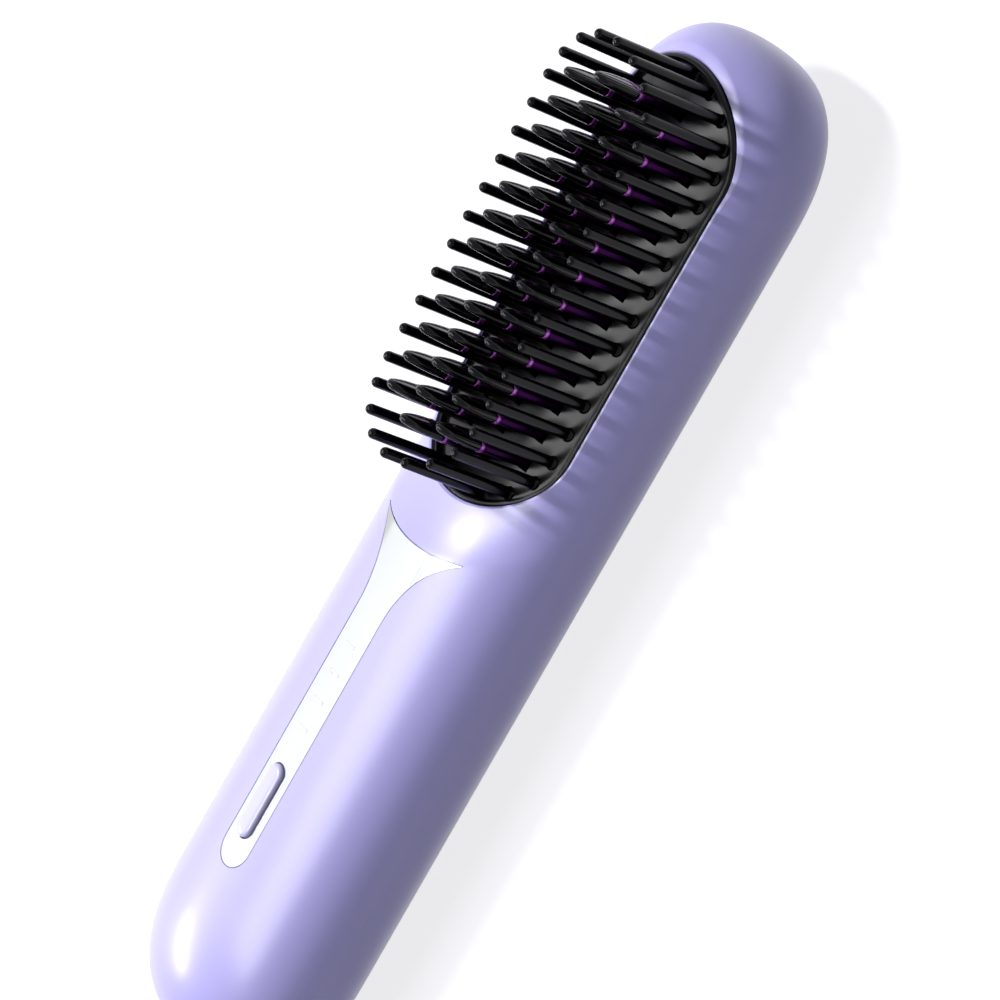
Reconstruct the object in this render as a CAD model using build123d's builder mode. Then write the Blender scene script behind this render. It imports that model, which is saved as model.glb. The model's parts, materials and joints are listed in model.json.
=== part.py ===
from build123d import *
from math import atan2, cos, degrees, hypot, pi, sin, sqrt
import os

# Cordless heated straightening brush, in millimetres. It lies on its back: +X runs from the
# charging port to the head, +Z runs up the bristles, and the origin is under the middle of the
# body, on the narrow flat that it rests on.

# Body
body_length = 216.0
half_width = 25.3
half_height = 16.7
rest_flat = 0.4  # depth of the flat along the back
crown_flat = 4.0  # half-width of the level strip along the crown
side_radius = 9.5  # the flanks; the crown's radius follows from it
wall = 2.0
end_thickness = 18.0  # both ends are solid but for the rooms cut into them
axis_height = half_height - rest_flat
body_reach = body_length / 2
cavity_reach = body_reach - end_thickness
section_reach = half_width - crown_flat
corner_x = body_reach - section_reach
crown_radius = ((section_reach - side_radius) ** 2 + half_height**2 - side_radius**2) / (
    2 * (half_height - side_radius)
)
section_turn = atan2(crown_radius - half_height, section_reach - side_radius)

# Split between the housing and the cover on the back
split_height = 5.0
lip_height = 1.2
lip_thickness = 1.4
lip_clearance = 0.15
lip_end_gap = 13.0
lip_middle_gap = 9.0
cover_root = 1.0  # ribs inside the cover start here, inside its wall

# Bristle opening: a slot with round ends
head_margin = 8.2
opening_reach = 45.8
shoulder_width = 5.0
opening_half_width = half_width - shoulder_width
field_x = body_reach - head_margin - opening_reach
opening_start = field_x - opening_reach
dish_depth = 2.2
dish_reach = 11.6
dish_sections = 7
dish_points = 4
dish_edge_gap = 1.3
dish_half_width = half_width - dish_edge_gap
dish_lift = 0.03  # keeps the cut clear of the wall where the dish has run out
dish_cut_height = 20.0

# Black ring around the plate
ring_clearance = 0.1
ring_width = 1.0
ring_sink = 0.5
ring_crown_bend = 2.27722772  # radius over half-width
ring_crown_radius = ring_crown_bend * (opening_half_width - ring_clearance)
ring_crown_top = 30.4

# Bristle plate
plate_clearance = 0.1
plate_inset = ring_clearance + ring_width + plate_clearance
plate_crown_top = 29.1
plate_crown_bend = 2.55497382  # radius over half-width
plate_crown_radius = plate_crown_bend * (opening_half_width - plate_inset)
plate_crown_flats = 9
plate_bottom = 19.0
plate_skirt = 1.5
plate_ceiling = 23.6
flange_reach = 1.3
flange_height = 1.5
flange_clearance = 0.3
collar_thickness = 1.4
plate_hole_depth = 4.0
plate_boss_size = 4.8

# Round pins around the edge of the plate
pin_rows = 11
pin_run_gap = 15.8
pin_run = 2 * (opening_reach - pin_run_gap)
pin_pitch = pin_run / (pin_rows - 1)
pin_edge_gap = 4.3
pin_half_width = opening_half_width - pin_edge_gap
pin_end_gap = 2.8
pin_end_reach = pin_half_width - pin_end_gap
pin_end_count = 7
pin_height = 20.2
pin_radius = 1.06
pin_sides = 8
pin_root_sink = 0.6

# Heated blades and their caps
blade_column_share = 0.569  # of the pins' half-width
blade_column_offset = pin_half_width * blade_column_share
centre_blades = 13
side_blades = 12
blade_width_share = 0.379  # of the distance between columns
blade_half_width = blade_column_offset * blade_width_share
blade_thickness = 2.3
blade_slot_clearance = 0.2
blade_foot_share = 0.87
blade_foot_half_width = blade_half_width * blade_foot_share
metal_height = 11.5
blade_height = 20.0
cap_tip_share = 0.42
cap_shoulder_share = 0.87
cap_tip_half_width = blade_half_width * cap_tip_share
cap_shoulder_half_width = blade_half_width * cap_shoulder_share
cap_shoulder = 5.4
cap_tip_half_thickness = 0.5
cap_overhang = 0.12
tongue_height = 4.0
tongue_half_width = 1.3
tongue_thickness = 0.9
tongue_clearance = 0.05

# Heater stack under the plate
comb_top_gap = 0.2
comb_base_thickness = 2.0
comb_end_gap = 7.8
comb_side_gap = 2.5
comb_base_length = 2 * (opening_reach - comb_end_gap)
comb_base_width = 2 * (pin_half_width - comb_side_gap)
comb_base_bevel = 4.0
heater_end_gap = 2.0
heater_side_gap = 5.5
heater_length = comb_base_length - 2 * heater_end_gap
heater_width = comb_base_width - 2 * heater_side_gap
heater_thickness = 2.0
heater_pad_thickness = 0.4
shield_thickness = 1.6
shield_hole_margin = 0.4
shield_margin = 3.5
shield_side_gap = 5.3
shield_width = 2 * (opening_half_width - shield_side_gap)
shield_bevel = 9.0
sensor_size = 3.2
sensor_height = 1.8
sensor_end_gap = 22.0
sensor_side_gap = 2.5
sensor_x = field_x + comb_base_length / 2 - sensor_end_gap
sensor_y = comb_base_width / 2 - sensor_side_gap
fuse_radius = 0.95
fuse_sides = 8
fuse_length = 11.0
fuse_end_gap = 24.0
fuse_x = field_x - comb_base_length / 2 + fuse_end_gap

# Decorative strip along the handle
strip_half_width = 4.25
strip_flare_half_width = 13.1
strip_flare_radius = 21.7
strip_top_gap = 11.4
strip_flare_rise = 1.7
strip_end_gap = 34.5
strip_top_x = opening_start - strip_top_gap
strip_flare_x = strip_top_x + strip_flare_rise
strip_end_x = strip_end_gap - body_reach
strip_length = strip_top_x - strip_end_x
strip_thickness = 0.8
strip_gap = 0.12
strip_flush = 0.04

# Button, in a slot in the strip
button_place = 0.198  # shares of the strip's length, from its round end
button_share = 0.222
button_x = strip_end_x + strip_length * button_place
button_length = strip_length * button_share
button_width = 4.4
button_gap = 0.25
button_rise = 0.9
button_edge = 0.5
button_travel = 0.35
button_flange_margin = 1.0
button_flange_height = 0.9
button_flange_play = 0.1

# Light bars of the battery gauge
light_place = 0.321  # shares of the strip's length, from its flared top
light_share = 0.0853
light_first_x = strip_top_x - strip_length * light_place
light_pitch = strip_length * light_share
light_count = 4
light_length = 3.2
light_width = 0.6
light_slot_clearance = 0.05
light_rail_margin = 1.2
light_rail_height = 0.8
led_size = 1.6
led_height = 0.7

# Main circuit board
board_end_gap = 5.0
board_head_gap = 11.2
board_length = cavity_reach - board_end_gap + opening_start - board_head_gap
board_width = 18.0
board_thickness = 1.2
board_bottom = 26.1
board_x = board_end_gap - cavity_reach + board_length / 2
board_post_gap = 5.0
board_post_reach = board_length / 2 - board_post_gap
board_post_size = 4.0
switch_size = 4.5
switch_height = 1.5
plunger_size = 1.8
plunger_sink = 0.5
plunger_clearance = 0.05
chip_size = 6.0
chip_height = 0.9
chip_gap = 17.0
chip_x = board_x + board_length / 2 - chip_gap

# Battery
cell_side_room = 7.0
cell_gap = 0.3
cell_sides = 24
cell_end_gap = 7.5
cell_head_gap = 25.7
cell_radius = (half_width - cell_side_room) / 2
cell_length = cavity_reach - cell_end_gap + opening_start - cell_head_gap
cell_x = cell_end_gap - cavity_reach + cell_length / 2
cell_height = 14.4
cell_spacing = 2 * cell_radius + cell_gap
cradle_end_gap = 8.5
cradle_length = cell_length - 2 * cradle_end_gap
cradle_side_gap = 12.3
cradle_width = 2 * (half_width - cradle_side_gap)
cradle_top = 10.5
link_thickness = 0.3
link_width = 7.0

# Charging port and its board
port_width = 8.94
port_height = 3.26
port_depth = 7.3
port_corner = 0.9
port_shell = 0.3
port_clearance = 0.15
port_tongue_width = 6.6
port_tongue_thickness = 0.7
port_tongue_length = 5.0
port_sink = 0.6
port_back = 1.2
charge_board_length = 12.0
charge_board_width = 17.0
charge_board_thickness = 1.0
charge_board_gap = 9.6
charge_board_x = charge_board_gap - body_reach
charge_board_clearance = 0.3
charge_room_height = 7.0

# Screws
screw_head_radius = 2.2
screw_head_height = 1.3
screw_radius = 1.1
screw_length = 9.0
screw_head_sides = 12
screw_sides = 8
screw_clearance = 0.1
screw_seat = 1.2  # depth of the screws' seats in the cover
screw_boss_size = 5.6
end_screw_gap = 2.0
middle_screw_gap = 6.2
shield_post_offset = 24.0
housing_boss_height = 8.0
boss_web_thickness = 1.6
post_top = 9.0
shield_screw_gap = 4.5
shield_screw_reach = opening_reach - shield_screw_gap
shield_screw_length = 4.5

# Wires
wire_radius = 0.8
wire_spacing = 12.0
heater_wire_gap = 16.2
heater_wire_x = opening_start - heater_wire_gap
heater_wire_height = 14.5
heater_wire_lead = 2.0
charging_wire_run = 10.0
charging_wire_gap = 6.0
charging_wire_end_x = charging_wire_gap - cavity_reach
charging_wire_x = charging_wire_end_x - charging_wire_run
charging_wire_height = 17.5
battery_wire_gap = 19.2
battery_wire_x = opening_start - battery_wire_gap
battery_wire_lead = 2.0
battery_wire_share = 0.6

# Worked out from the sizes above
crown_height = axis_height + half_height
flange_top = plate_bottom + flange_height
comb_top = plate_ceiling - comb_top_gap
comb_bottom = comb_top - comb_base_thickness
heater_bottom = comb_bottom - heater_thickness
board_top = board_bottom + board_thickness
screw_seat_height = screw_head_height + screw_seat
shield_bottom = plate_bottom - shield_thickness
head_room_bottom = shield_bottom - screw_head_height - flange_clearance
strip_floor = strip_thickness + strip_flush
port_x = -(body_reach - port_sink)
charge_board_top = axis_height - port_height / 2
heater_end_x = field_x - heater_length / 2
heater_wire_end = heater_bottom + heater_thickness / 2


def half_section(inset):
    """Half of the body's section, from the edge of the level strip out to the flank."""
    top = half_height - inset
    turn = degrees(section_turn)
    with BuildSketch() as half:
        with BuildLine():
            Line((0, -top), (0, top))
            CenterArc((0, half_height - crown_radius), crown_radius - inset, turn, 90 - turn)
            CenterArc((section_reach - side_radius, 0), side_radius - inset, -turn, 2 * turn)
            CenterArc((0, crown_radius - half_height), crown_radius - inset, -90, 90 - turn)
        make_face()
    return half.sketch


def section_bar(inset, reach):
    """Straight bar of the body's section, drawn in by inset, out to the same reach both ways."""
    half = half_section(inset)
    with BuildPart() as bar:
        with BuildSketch(Plane.YZ.offset(-reach)):
            with Locations((0, axis_height)):
                Rectangle(2 * crown_flat, 2 * (half_height - inset))
            with Locations((crown_flat, axis_height)):
                add(half)
            with Locations((-crown_flat, axis_height)):
                add(mirror(half, about=Plane.YZ, mode=Mode.PRIVATE))
        extrude(amount=2 * reach)
    return bar.part


def body_form(inset):
    """The whole outer form, drawn in by inset: the section carried straight and round the ends."""
    half = half_section(inset)
    with BuildPart() as form:
        add(section_bar(inset, corner_x))
        for side in (-1, 1):
            with BuildSketch(Plane.XZ.offset(side * crown_flat)):
                with Locations((corner_x, axis_height)):
                    add(half)
            revolve(axis=Axis((corner_x, -side * crown_flat, 0), (0, 0, -side)), revolution_arc=90)
        with BuildSketch(Plane.XZ):
            with Locations((corner_x, axis_height)):
                add(half)
        extrude(amount=crown_flat, both=True)
        split(bisect_by=Plane.YZ, keep=Keep.TOP)
        mirror(about=Plane.YZ)
    return form.part


def body_height(y, inset=0.0):
    """Height, at y, of the straight part of the body's upper surface."""
    out = abs(y) - crown_flat
    if out < 0:
        return axis_height + half_height - inset
    if out < crown_radius * cos(section_turn):
        return axis_height + half_height - crown_radius + sqrt((crown_radius - inset) ** 2 - out**2)
    return axis_height + sqrt((side_radius - inset) ** 2 - (out - section_reach + side_radius) ** 2)


def lower_width(z, inset=0.0):
    """Half-width, at height z, of the crown-shaped part of the body's underside."""
    drop = axis_height - z + crown_radius - half_height
    return crown_flat + sqrt((crown_radius - inset) ** 2 - drop**2)


def crown_bar(top, radius):
    """Round bar along the head whose crest is at the given height."""
    with BuildPart() as bar:
        with BuildSketch(Plane.YZ.offset(field_x - opening_reach)):
            with Locations((0, top - radius)):
                Circle(radius)
        extrude(amount=2 * opening_reach)
    return bar.part


def plate_crown_bar():
    """Bar along the head whose crest is the plate's crown, in narrow flats."""
    reach = opening_half_width - plate_inset
    crest = []
    for index in range(plate_crown_flats + 1):
        y = reach * (2 * index / plate_crown_flats - 1)
        crest.append((y, plate_surface(y)))
    with BuildPart() as bar:
        with BuildSketch(Plane.YZ.offset(field_x - opening_reach)):
            with BuildLine():
                Polyline(*crest, (reach, plate_bottom), (-reach, plate_bottom), close=True)
            make_face()
        extrude(amount=2 * opening_reach)
    return bar.part


def opening_outline(inset):
    """The bristle opening's outline, drawn in by inset, in the open sketch."""
    with Locations((field_x, 0)):
        SlotOverall(2 * (opening_reach - inset), 2 * (opening_half_width - inset))


def pin_places():
    """Centres of the pins, evenly along the sides and around both ends."""
    half_run = pin_run / 2
    places = []
    for row in range(pin_rows):
        for side in (-1, 1):
            places.append((field_x - half_run + row * pin_pitch, side * pin_half_width))
    for end in (-1, 1):
        for step in range(1, pin_end_count + 1):
            turn = pi * step / (pin_end_count + 1)
            x = field_x + end * (half_run + pin_end_reach * sin(turn))
            places.append((x, pin_half_width * cos(turn)))
    return places


def blade_places():
    """Centres of the blades: a long middle column and two shorter side columns."""
    places = []
    for column in (-1, 0, 1):
        count = side_blades if column else centre_blades
        for row in range(count):
            x = field_x + (row - (count - 1) / 2) * pin_pitch
            places.append((x, column * blade_column_offset))
    return places


def plate_surface(y):
    """Height of the plate's crown, where pins and blades stand."""
    return plate_crown_top - plate_crown_radius + sqrt(plate_crown_radius**2 - y**2)


def port_outline(margin):
    """The charging port's outline with bevelled corners, grown by margin."""
    with BuildSketch() as outline:
        Rectangle(port_width + 2 * margin, port_height + 2 * margin)
        chamfer(outline.vertices(), length=port_corner + margin / 2)
    return outline.sketch


def screws(places, seat, length):
    """Screws with flat heads below their seat, all with the same length of shaft."""
    with BuildPart() as group:
        with BuildSketch(Plane.XY.offset(seat - screw_head_height)):
            with Locations(*places):
                RegularPolygon(screw_head_radius, screw_head_sides)
        extrude(amount=screw_head_height)
        with BuildSketch(Plane.XY.offset(seat)):
            with Locations(*places):
                RegularPolygon(screw_radius, screw_sides)
        extrude(amount=length)
    return group.part


def wires(*paths):
    """Wires of the same thickness along straight runs."""
    with BuildPart() as group:
        for path in paths:
            with BuildLine() as run:
                Polyline(*path)
            with BuildSketch(Plane(run.line @ 0, z_dir=run.line % 0)):
                RegularPolygon(wire_radius, 6)
            sweep(transition=Transition.RIGHT)
    return group.part


def dish_cut():
    """What is cut away above the dished surround at the handle end of the opening."""
    centre_x = opening_start + opening_half_width
    first_x = opening_start - dish_reach - wall
    step_x = (centre_x - first_x) / (dish_sections - 1)
    with BuildPart() as cut:
        for section in range(dish_sections):
            x = first_x + section * step_x
            points = []
            for index in range(-dish_points, dish_points + 1):
                y = index * dish_half_width / dish_points
                out = hypot(centre_x - x, y) - opening_half_width
                turn = atan2(abs(y), centre_x - x)
                fade = cos(turn) ** 2 - dish_lift
                points.append((y, body_height(y) - dish_depth * (1 - out / dish_reach) * fade))
            top = crown_height + dish_cut_height
            with BuildSketch(Plane.YZ.offset(x)):
                with BuildLine():
                    Spline(*points)
                    Polyline(points[-1], (points[-1][0], top), (points[0][0], top), points[0])
                make_face()
        loft()
    return cut.part


os.makedirs("parts", exist_ok=True)

outer_form = body_form(0)
middle_form = body_form(wall / 2)
inner_bar = section_bar(wall, cavity_reach)
strip_top = section_bar(strip_flush, corner_x)
strip_bed = section_bar(strip_floor, corner_x)
dish = dish_cut()
housing_screws_at = [(end_screw_gap - cavity_reach, 0), (opening_start - middle_screw_gap, 0)]
shield_posts_at = [(field_x + shield_post_offset, 0)]
cover_screws_at = housing_screws_at + shield_posts_at
board_posts_at = [(board_x - board_post_reach, 0), (board_x + board_post_reach, 0)]
shield_screws_at = [(field_x - shield_screw_reach, 0), (field_x + shield_screw_reach, 0)]
lights_at = [(light_first_x - light_pitch * index, 0) for index in range(light_count)]
lip_edge = lower_width(split_height, wall) - lip_clearance
lip_length = cavity_reach - lip_end_gap - lip_middle_gap
lip_x = lip_middle_gap + lip_length / 2
links_x = cell_x + cell_length / 2 + link_thickness
lights_centre = light_first_x - light_pitch * (light_count - 1) / 2
cells_at = [-cell_spacing / 2, cell_spacing / 2]
wires_at = [-wire_spacing / 2, wire_spacing / 2]

# Cavity, lower where the dished surround is above it, with room for the plate's flange in the
# head and for the charging board in the other end
with BuildPart() as cavity:
    add(inner_bar)
    with BuildSketch(Plane.XY.offset(crown_height - dish_depth - wall)):
        with Locations((opening_start, 0)):
            Rectangle(2 * (dish_reach + wall), 2 * half_width)
    extrude(amount=half_height, mode=Mode.SUBTRACT)
    with BuildSketch(Plane.XY.offset(head_room_bottom)):
        opening_outline(-flange_reach - flange_clearance)
    extrude(amount=flange_top - head_room_bottom)
    with BuildSketch(Plane.XY.offset(charge_board_top - charge_board_thickness)):
        with Locations((wall - body_reach, 0)):
            Rectangle(
                body_reach - wall - cavity_reach,
                charge_board_width + 2 * charge_board_clearance,
                align=(Align.MIN, Align.CENTER),
            )
    extrude(amount=charge_room_height)

# Screw bosses with their webs, the posts over the board and the collar round the opening
with BuildPart() as housing_bosses:
    with BuildSketch(Plane.XY.offset(split_height)):
        with Locations(*housing_screws_at):
            Rectangle(screw_boss_size, screw_boss_size)
    extrude(amount=housing_boss_height)
    with BuildSketch(Plane.XY.offset(split_height + housing_boss_height)):
        with Locations(*housing_screws_at):
            Rectangle(boss_web_thickness, screw_boss_size)
    extrude(amount=2 * half_height)
    with BuildSketch(Plane.XY.offset(board_top)):
        with Locations(*board_posts_at):
            Rectangle(board_post_size, board_post_size)
    extrude(amount=2 * half_height)
    with BuildSketch(Plane.XY.offset(flange_top)):
        opening_outline(-collar_thickness)
    extrude(amount=2 * half_height)
    add(middle_form, mode=Mode.INTERSECT)

# Outline of the strip: a flared top, straight sides and a round end
flare_drop = strip_flare_radius - strip_flare_half_width + strip_half_width
flare_run = sqrt(strip_flare_radius**2 - flare_drop**2)
flare_start_x = strip_flare_x - flare_run
with BuildSketch() as strip_shape:
    with BuildLine():
        for side in (-1, 1):
            Line(
                (strip_end_x + strip_half_width, side * strip_half_width),
                (flare_start_x, side * strip_half_width),
            )
            TangentArc(
                (flare_start_x, side * strip_half_width),
                (strip_flare_x, side * strip_flare_half_width),
                tangent=(1, 0),
            )
        ThreePointArc(
            (strip_flare_x, -strip_flare_half_width),
            (strip_top_x, 0),
            (strip_flare_x, strip_flare_half_width),
        )
        ThreePointArc(
            (strip_end_x + strip_half_width, -strip_half_width),
            (strip_end_x, 0),
            (strip_end_x + strip_half_width, strip_half_width),
        )
    make_face()

# Bed of the strip, cut into the top of the handle
with BuildPart() as strip_recess:
    with BuildSketch(Plane.XY.offset(axis_height)):
        add(strip_shape.sketch)
        offset(amount=strip_gap)
    extrude(amount=half_height + strip_flush)
    add(strip_bed, mode=Mode.SUBTRACT)

# Housing: one shell from the head to the end of the handle, open at the back
with BuildPart() as main_housing:
    add(outer_form)
    add(cavity.part, mode=Mode.SUBTRACT)
    split(bisect_by=Plane.XY.offset(split_height), keep=Keep.TOP)
    add(housing_bosses.part)
    with BuildSketch(Plane.XY.offset(flange_top)):
        opening_outline(0)
    extrude(amount=2 * half_height, mode=Mode.SUBTRACT)
    add(dish, mode=Mode.SUBTRACT)
    add(strip_recess.part, mode=Mode.SUBTRACT)
    # pilot holes for the screws
    with BuildSketch(Plane.XY.offset(split_height)):
        with Locations(*housing_screws_at):
            RegularPolygon(screw_radius, screw_sides)
    extrude(amount=screw_seat_height + screw_length - split_height, mode=Mode.SUBTRACT)
    # slots for the button and the light bars
    with BuildSketch(Plane.XY.offset(board_top)):
        with Locations((button_x, 0)):
            SlotOverall(button_length + 2 * button_gap, button_width + 2 * button_gap)
        with Locations(*lights_at):
            Rectangle(light_width + 2 * light_slot_clearance, light_length + 2 * light_slot_clearance)
    extrude(amount=half_height, mode=Mode.SUBTRACT)
    # charging port
    with BuildSketch(Plane.YZ.offset(-body_reach)):
        with Locations((0, axis_height)):
            add(port_outline(port_clearance))
    extrude(amount=port_depth, mode=Mode.SUBTRACT)
main_housing.part.label = "main_housing"
export_step(main_housing.part, "parts/main_housing.step")

# Ribs, screw posts and locating lips of the cover, grown into its wall
with BuildPart() as cover_ribs:
    with BuildSketch(Plane.XY.offset(cover_root)):
        with Locations(*housing_screws_at):
            Rectangle(screw_boss_size, screw_boss_size)
    extrude(amount=split_height - cover_root)
    with BuildSketch(Plane.XY.offset(cover_root)):
        with Locations(*shield_posts_at):
            Rectangle(screw_boss_size, screw_boss_size)
    extrude(amount=post_top - cover_root)
    # locating lips inside the housing's wall
    with BuildSketch(Plane.XY.offset(cover_root)):
        for side in (-1, 1):
            for x in (-lip_x, lip_x):
                with Locations((x, side * (lip_edge - lip_thickness / 2))):
                    Rectangle(lip_length, lip_thickness)
    extrude(amount=split_height + lip_height - cover_root)
    add(middle_form, mode=Mode.INTERSECT)

# Cover: closes the back, carries the ribs under the heater and the charging board
with BuildPart() as rear_cover:
    add(outer_form)
    add(cavity.part, mode=Mode.SUBTRACT)
    split(bisect_by=Plane.XY.offset(split_height), keep=Keep.BOTTOM)
    add(cover_ribs.part)
    split(bisect_by=Plane.XY, keep=Keep.TOP)
    # holes and sunk seats for the screws
    with BuildSketch(Plane.XY):
        with Locations(*cover_screws_at):
            RegularPolygon(screw_head_radius + screw_clearance, screw_head_sides)
    extrude(amount=screw_seat_height, mode=Mode.SUBTRACT)
    with BuildSketch(Plane.XY):
        with Locations(*cover_screws_at):
            RegularPolygon(screw_radius + screw_clearance, screw_sides)
    extrude(amount=post_top, mode=Mode.SUBTRACT)
rear_cover.part.label = "rear_cover"
export_step(rear_cover.part, "parts/rear_cover.step")
cover_screws = screws(cover_screws_at, screw_seat_height, screw_length)
cover_screws.label = "cover_screws"
export_step(cover_screws, "parts/cover_screws.step")

# One pin, with enough flats to feel round
with BuildPart() as pin:
    with BuildSketch(Plane.XY.offset(-pin_root_sink)):
        RegularPolygon(pin_radius, pin_sides)
    extrude(amount=pin_root_sink + pin_height)

# Bristle plate: a crowned moulding with its round pins, open below for the heater
with BuildPart() as bristle_plate:
    with BuildSketch(Plane.XY.offset(plate_bottom)):
        opening_outline(plate_inset)
    extrude(amount=plate_crown_top - plate_bottom)
    add(plate_crown_bar(), mode=Mode.INTERSECT)
    with BuildSketch(Plane.XY.offset(plate_bottom)):
        opening_outline(-flange_reach)
    extrude(amount=flange_height)
    with BuildSketch(Plane.XY.offset(plate_bottom)):
        opening_outline(plate_inset + plate_skirt)
    extrude(amount=plate_ceiling - plate_bottom, mode=Mode.SUBTRACT)
    with BuildSketch(Plane.XY.offset(plate_bottom)):
        with Locations(*shield_screws_at):
            Rectangle(plate_boss_size, plate_boss_size)
    extrude(amount=plate_ceiling - plate_bottom)
    with BuildSketch(Plane.XY.offset(plate_bottom)):
        with Locations(*shield_screws_at):
            RegularPolygon(screw_radius, screw_sides)
    extrude(amount=plate_hole_depth, mode=Mode.SUBTRACT)
    with BuildSketch(Plane.XY.offset(plate_ceiling)):
        with Locations(*blade_places()):
            Rectangle(
                blade_thickness + 2 * blade_slot_clearance,
                2 * (blade_half_width + blade_slot_clearance),
            )
    extrude(amount=plate_crown_top - plate_ceiling, mode=Mode.SUBTRACT)
    add([pin.part.moved(Location((x, y, plate_surface(y)))) for x, y in pin_places()])
bristle_plate.part.label = "bristle_plate"
export_step(bristle_plate.part, "parts/bristle_plate.step")

# Ring that stands on the plate's flange and fills the seam between the plate and the housing
with BuildPart() as seal_ring:
    with BuildSketch(Plane.XY.offset(flange_top)):
        opening_outline(ring_clearance)
        with BuildSketch(mode=Mode.SUBTRACT):
            opening_outline(ring_clearance + ring_width)
    extrude(amount=ring_crown_top - flange_top)
    add(crown_bar(ring_crown_top, ring_crown_radius), mode=Mode.INTERSECT)
    add(body_form(ring_sink), mode=Mode.INTERSECT)
seal_ring.part.label = "seal_ring"
export_step(seal_ring.part, "parts/seal_ring.step")

# One heated blade with the tongue that its cap sits on, measured from the plate's surface
with BuildPart() as blade:
    with BuildSketch(Plane.YZ):
        with BuildLine():
            Polyline(
                (-blade_foot_half_width, comb_top - plate_crown_top),
                (-blade_half_width, metal_height),
                (blade_half_width, metal_height),
                (blade_foot_half_width, comb_top - plate_crown_top),
                close=True,
            )
        make_face()
    extrude(amount=blade_thickness / 2, both=True)
    with BuildSketch(Plane.XY.offset(metal_height)):
        Rectangle(tongue_thickness, 2 * tongue_half_width)
    extrude(amount=tongue_height)

# One cap: an arched ridge across the comb, thinner towards its tip
cap_half_width = blade_half_width + cap_overhang
cap_half_thickness = blade_thickness / 2 + cap_overhang
with BuildPart() as cap:
    with BuildSketch(Plane.YZ.offset(-cap_half_thickness)):
        with BuildLine():
            Polyline(
                (-cap_half_width, metal_height),
                (-cap_shoulder_half_width, metal_height + cap_shoulder),
                (-cap_tip_half_width, blade_height),
                (cap_tip_half_width, blade_height),
                (cap_shoulder_half_width, metal_height + cap_shoulder),
                (cap_half_width, metal_height),
                close=True,
            )
        make_face()
    extrude(amount=2 * cap_half_thickness)
    with BuildSketch(Plane.XZ.offset(-cap_half_width)):
        with BuildLine():
            Polyline(
                (-cap_half_thickness, metal_height),
                (-cap_half_thickness, metal_height + cap_shoulder),
                (-cap_tip_half_thickness, blade_height),
                (cap_tip_half_thickness, blade_height),
                (cap_half_thickness, metal_height + cap_shoulder),
                (cap_half_thickness, metal_height),
                close=True,
            )
        make_face()
    extrude(amount=2 * cap_half_width, mode=Mode.INTERSECT)
    with BuildSketch(Plane.XY.offset(metal_height)):
        Rectangle(
            tongue_thickness + 2 * tongue_clearance,
            2 * (tongue_half_width + tongue_clearance),
        )
    extrude(amount=tongue_height + tongue_clearance, mode=Mode.SUBTRACT)

# Heated comb: a slab with three columns of metal blades that stand through the plate's slots
with BuildPart() as heating_comb:
    with BuildSketch(Plane.XY.offset(comb_bottom)):
        with Locations((field_x, 0)):
            Rectangle(comb_base_length, comb_base_width)
    extrude(amount=comb_base_thickness)
    chamfer(heating_comb.edges().filter_by(Axis.Z), length=comb_base_bevel)
    add([blade.part.moved(Location((x, y, plate_surface(y)))) for x, y in blade_places()])
heating_comb.part.label = "heating_comb"
export_step(heating_comb.part, "parts/heating_comb.step")

with BuildPart() as blade_caps:
    add([cap.part.moved(Location((x, y, plate_surface(y)))) for x, y in blade_places()])
blade_caps.part.label = "blade_caps"
export_step(blade_caps.part, "parts/blade_caps.step")

# Heater plate, the pad that presses it up and the shield that closes the plate from below
with BuildPart() as heater:
    with BuildSketch(Plane.XY.offset(heater_bottom)):
        with Locations((field_x, 0)):
            Rectangle(heater_length, heater_width)
    extrude(amount=heater_thickness)
heater.part.label = "heater"
export_step(heater.part, "parts/heater.step")

with BuildPart() as heater_pad:
    with BuildSketch(Plane.XY.offset(plate_bottom)):
        with Locations((field_x, 0)):
            Rectangle(heater_length, heater_width)
    extrude(amount=heater_bottom - plate_bottom)
heater_pad.part.label = "heater_pad"
export_step(heater_pad.part, "parts/heater_pad.step")

with BuildPart() as heater_shield:
    with BuildSketch(Plane.XY.offset(shield_bottom)):
        with Locations((field_x, 0)):
            Rectangle(2 * (shield_screw_reach + shield_margin), shield_width)
    extrude(amount=shield_thickness)
    chamfer(heater_shield.edges().filter_by(Axis.Z), length=shield_bevel)
    with BuildSketch(Plane.XY.offset(post_top)):
        with Locations(*shield_posts_at):
            Rectangle(screw_boss_size, screw_boss_size)
            RegularPolygon(screw_radius, screw_sides, mode=Mode.SUBTRACT)
    extrude(amount=shield_bottom - post_top)
    with BuildSketch(Plane.XY.offset(shield_bottom)):
        with Locations(*shield_screws_at):
            RegularPolygon(screw_radius + screw_clearance, screw_sides)
        with Locations(*[(heater_end_x - heater_wire_lead, y) for y in wires_at]):
            RegularPolygon(wire_radius + shield_hole_margin, screw_sides)
    extrude(amount=shield_thickness, mode=Mode.SUBTRACT)
heater_shield.part.label = "heater_shield"
export_step(heater_shield.part, "parts/heater_shield.step")
shield_screws = screws(shield_screws_at, shield_bottom, shield_screw_length)
shield_screws.label = "shield_screws"
export_step(shield_screws, "parts/shield_screws.step")

# Temperature sensor and thermal fuse, both against the underside of the comb
with BuildPart() as temperature_sensor:
    with BuildSketch(Plane.XY.offset(comb_bottom - sensor_height)):
        with Locations((sensor_x, sensor_y)):
            Rectangle(sensor_size, sensor_size)
    extrude(amount=sensor_height)
temperature_sensor.part.label = "temperature_sensor"
export_step(temperature_sensor.part, "parts/temperature_sensor.step")

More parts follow.
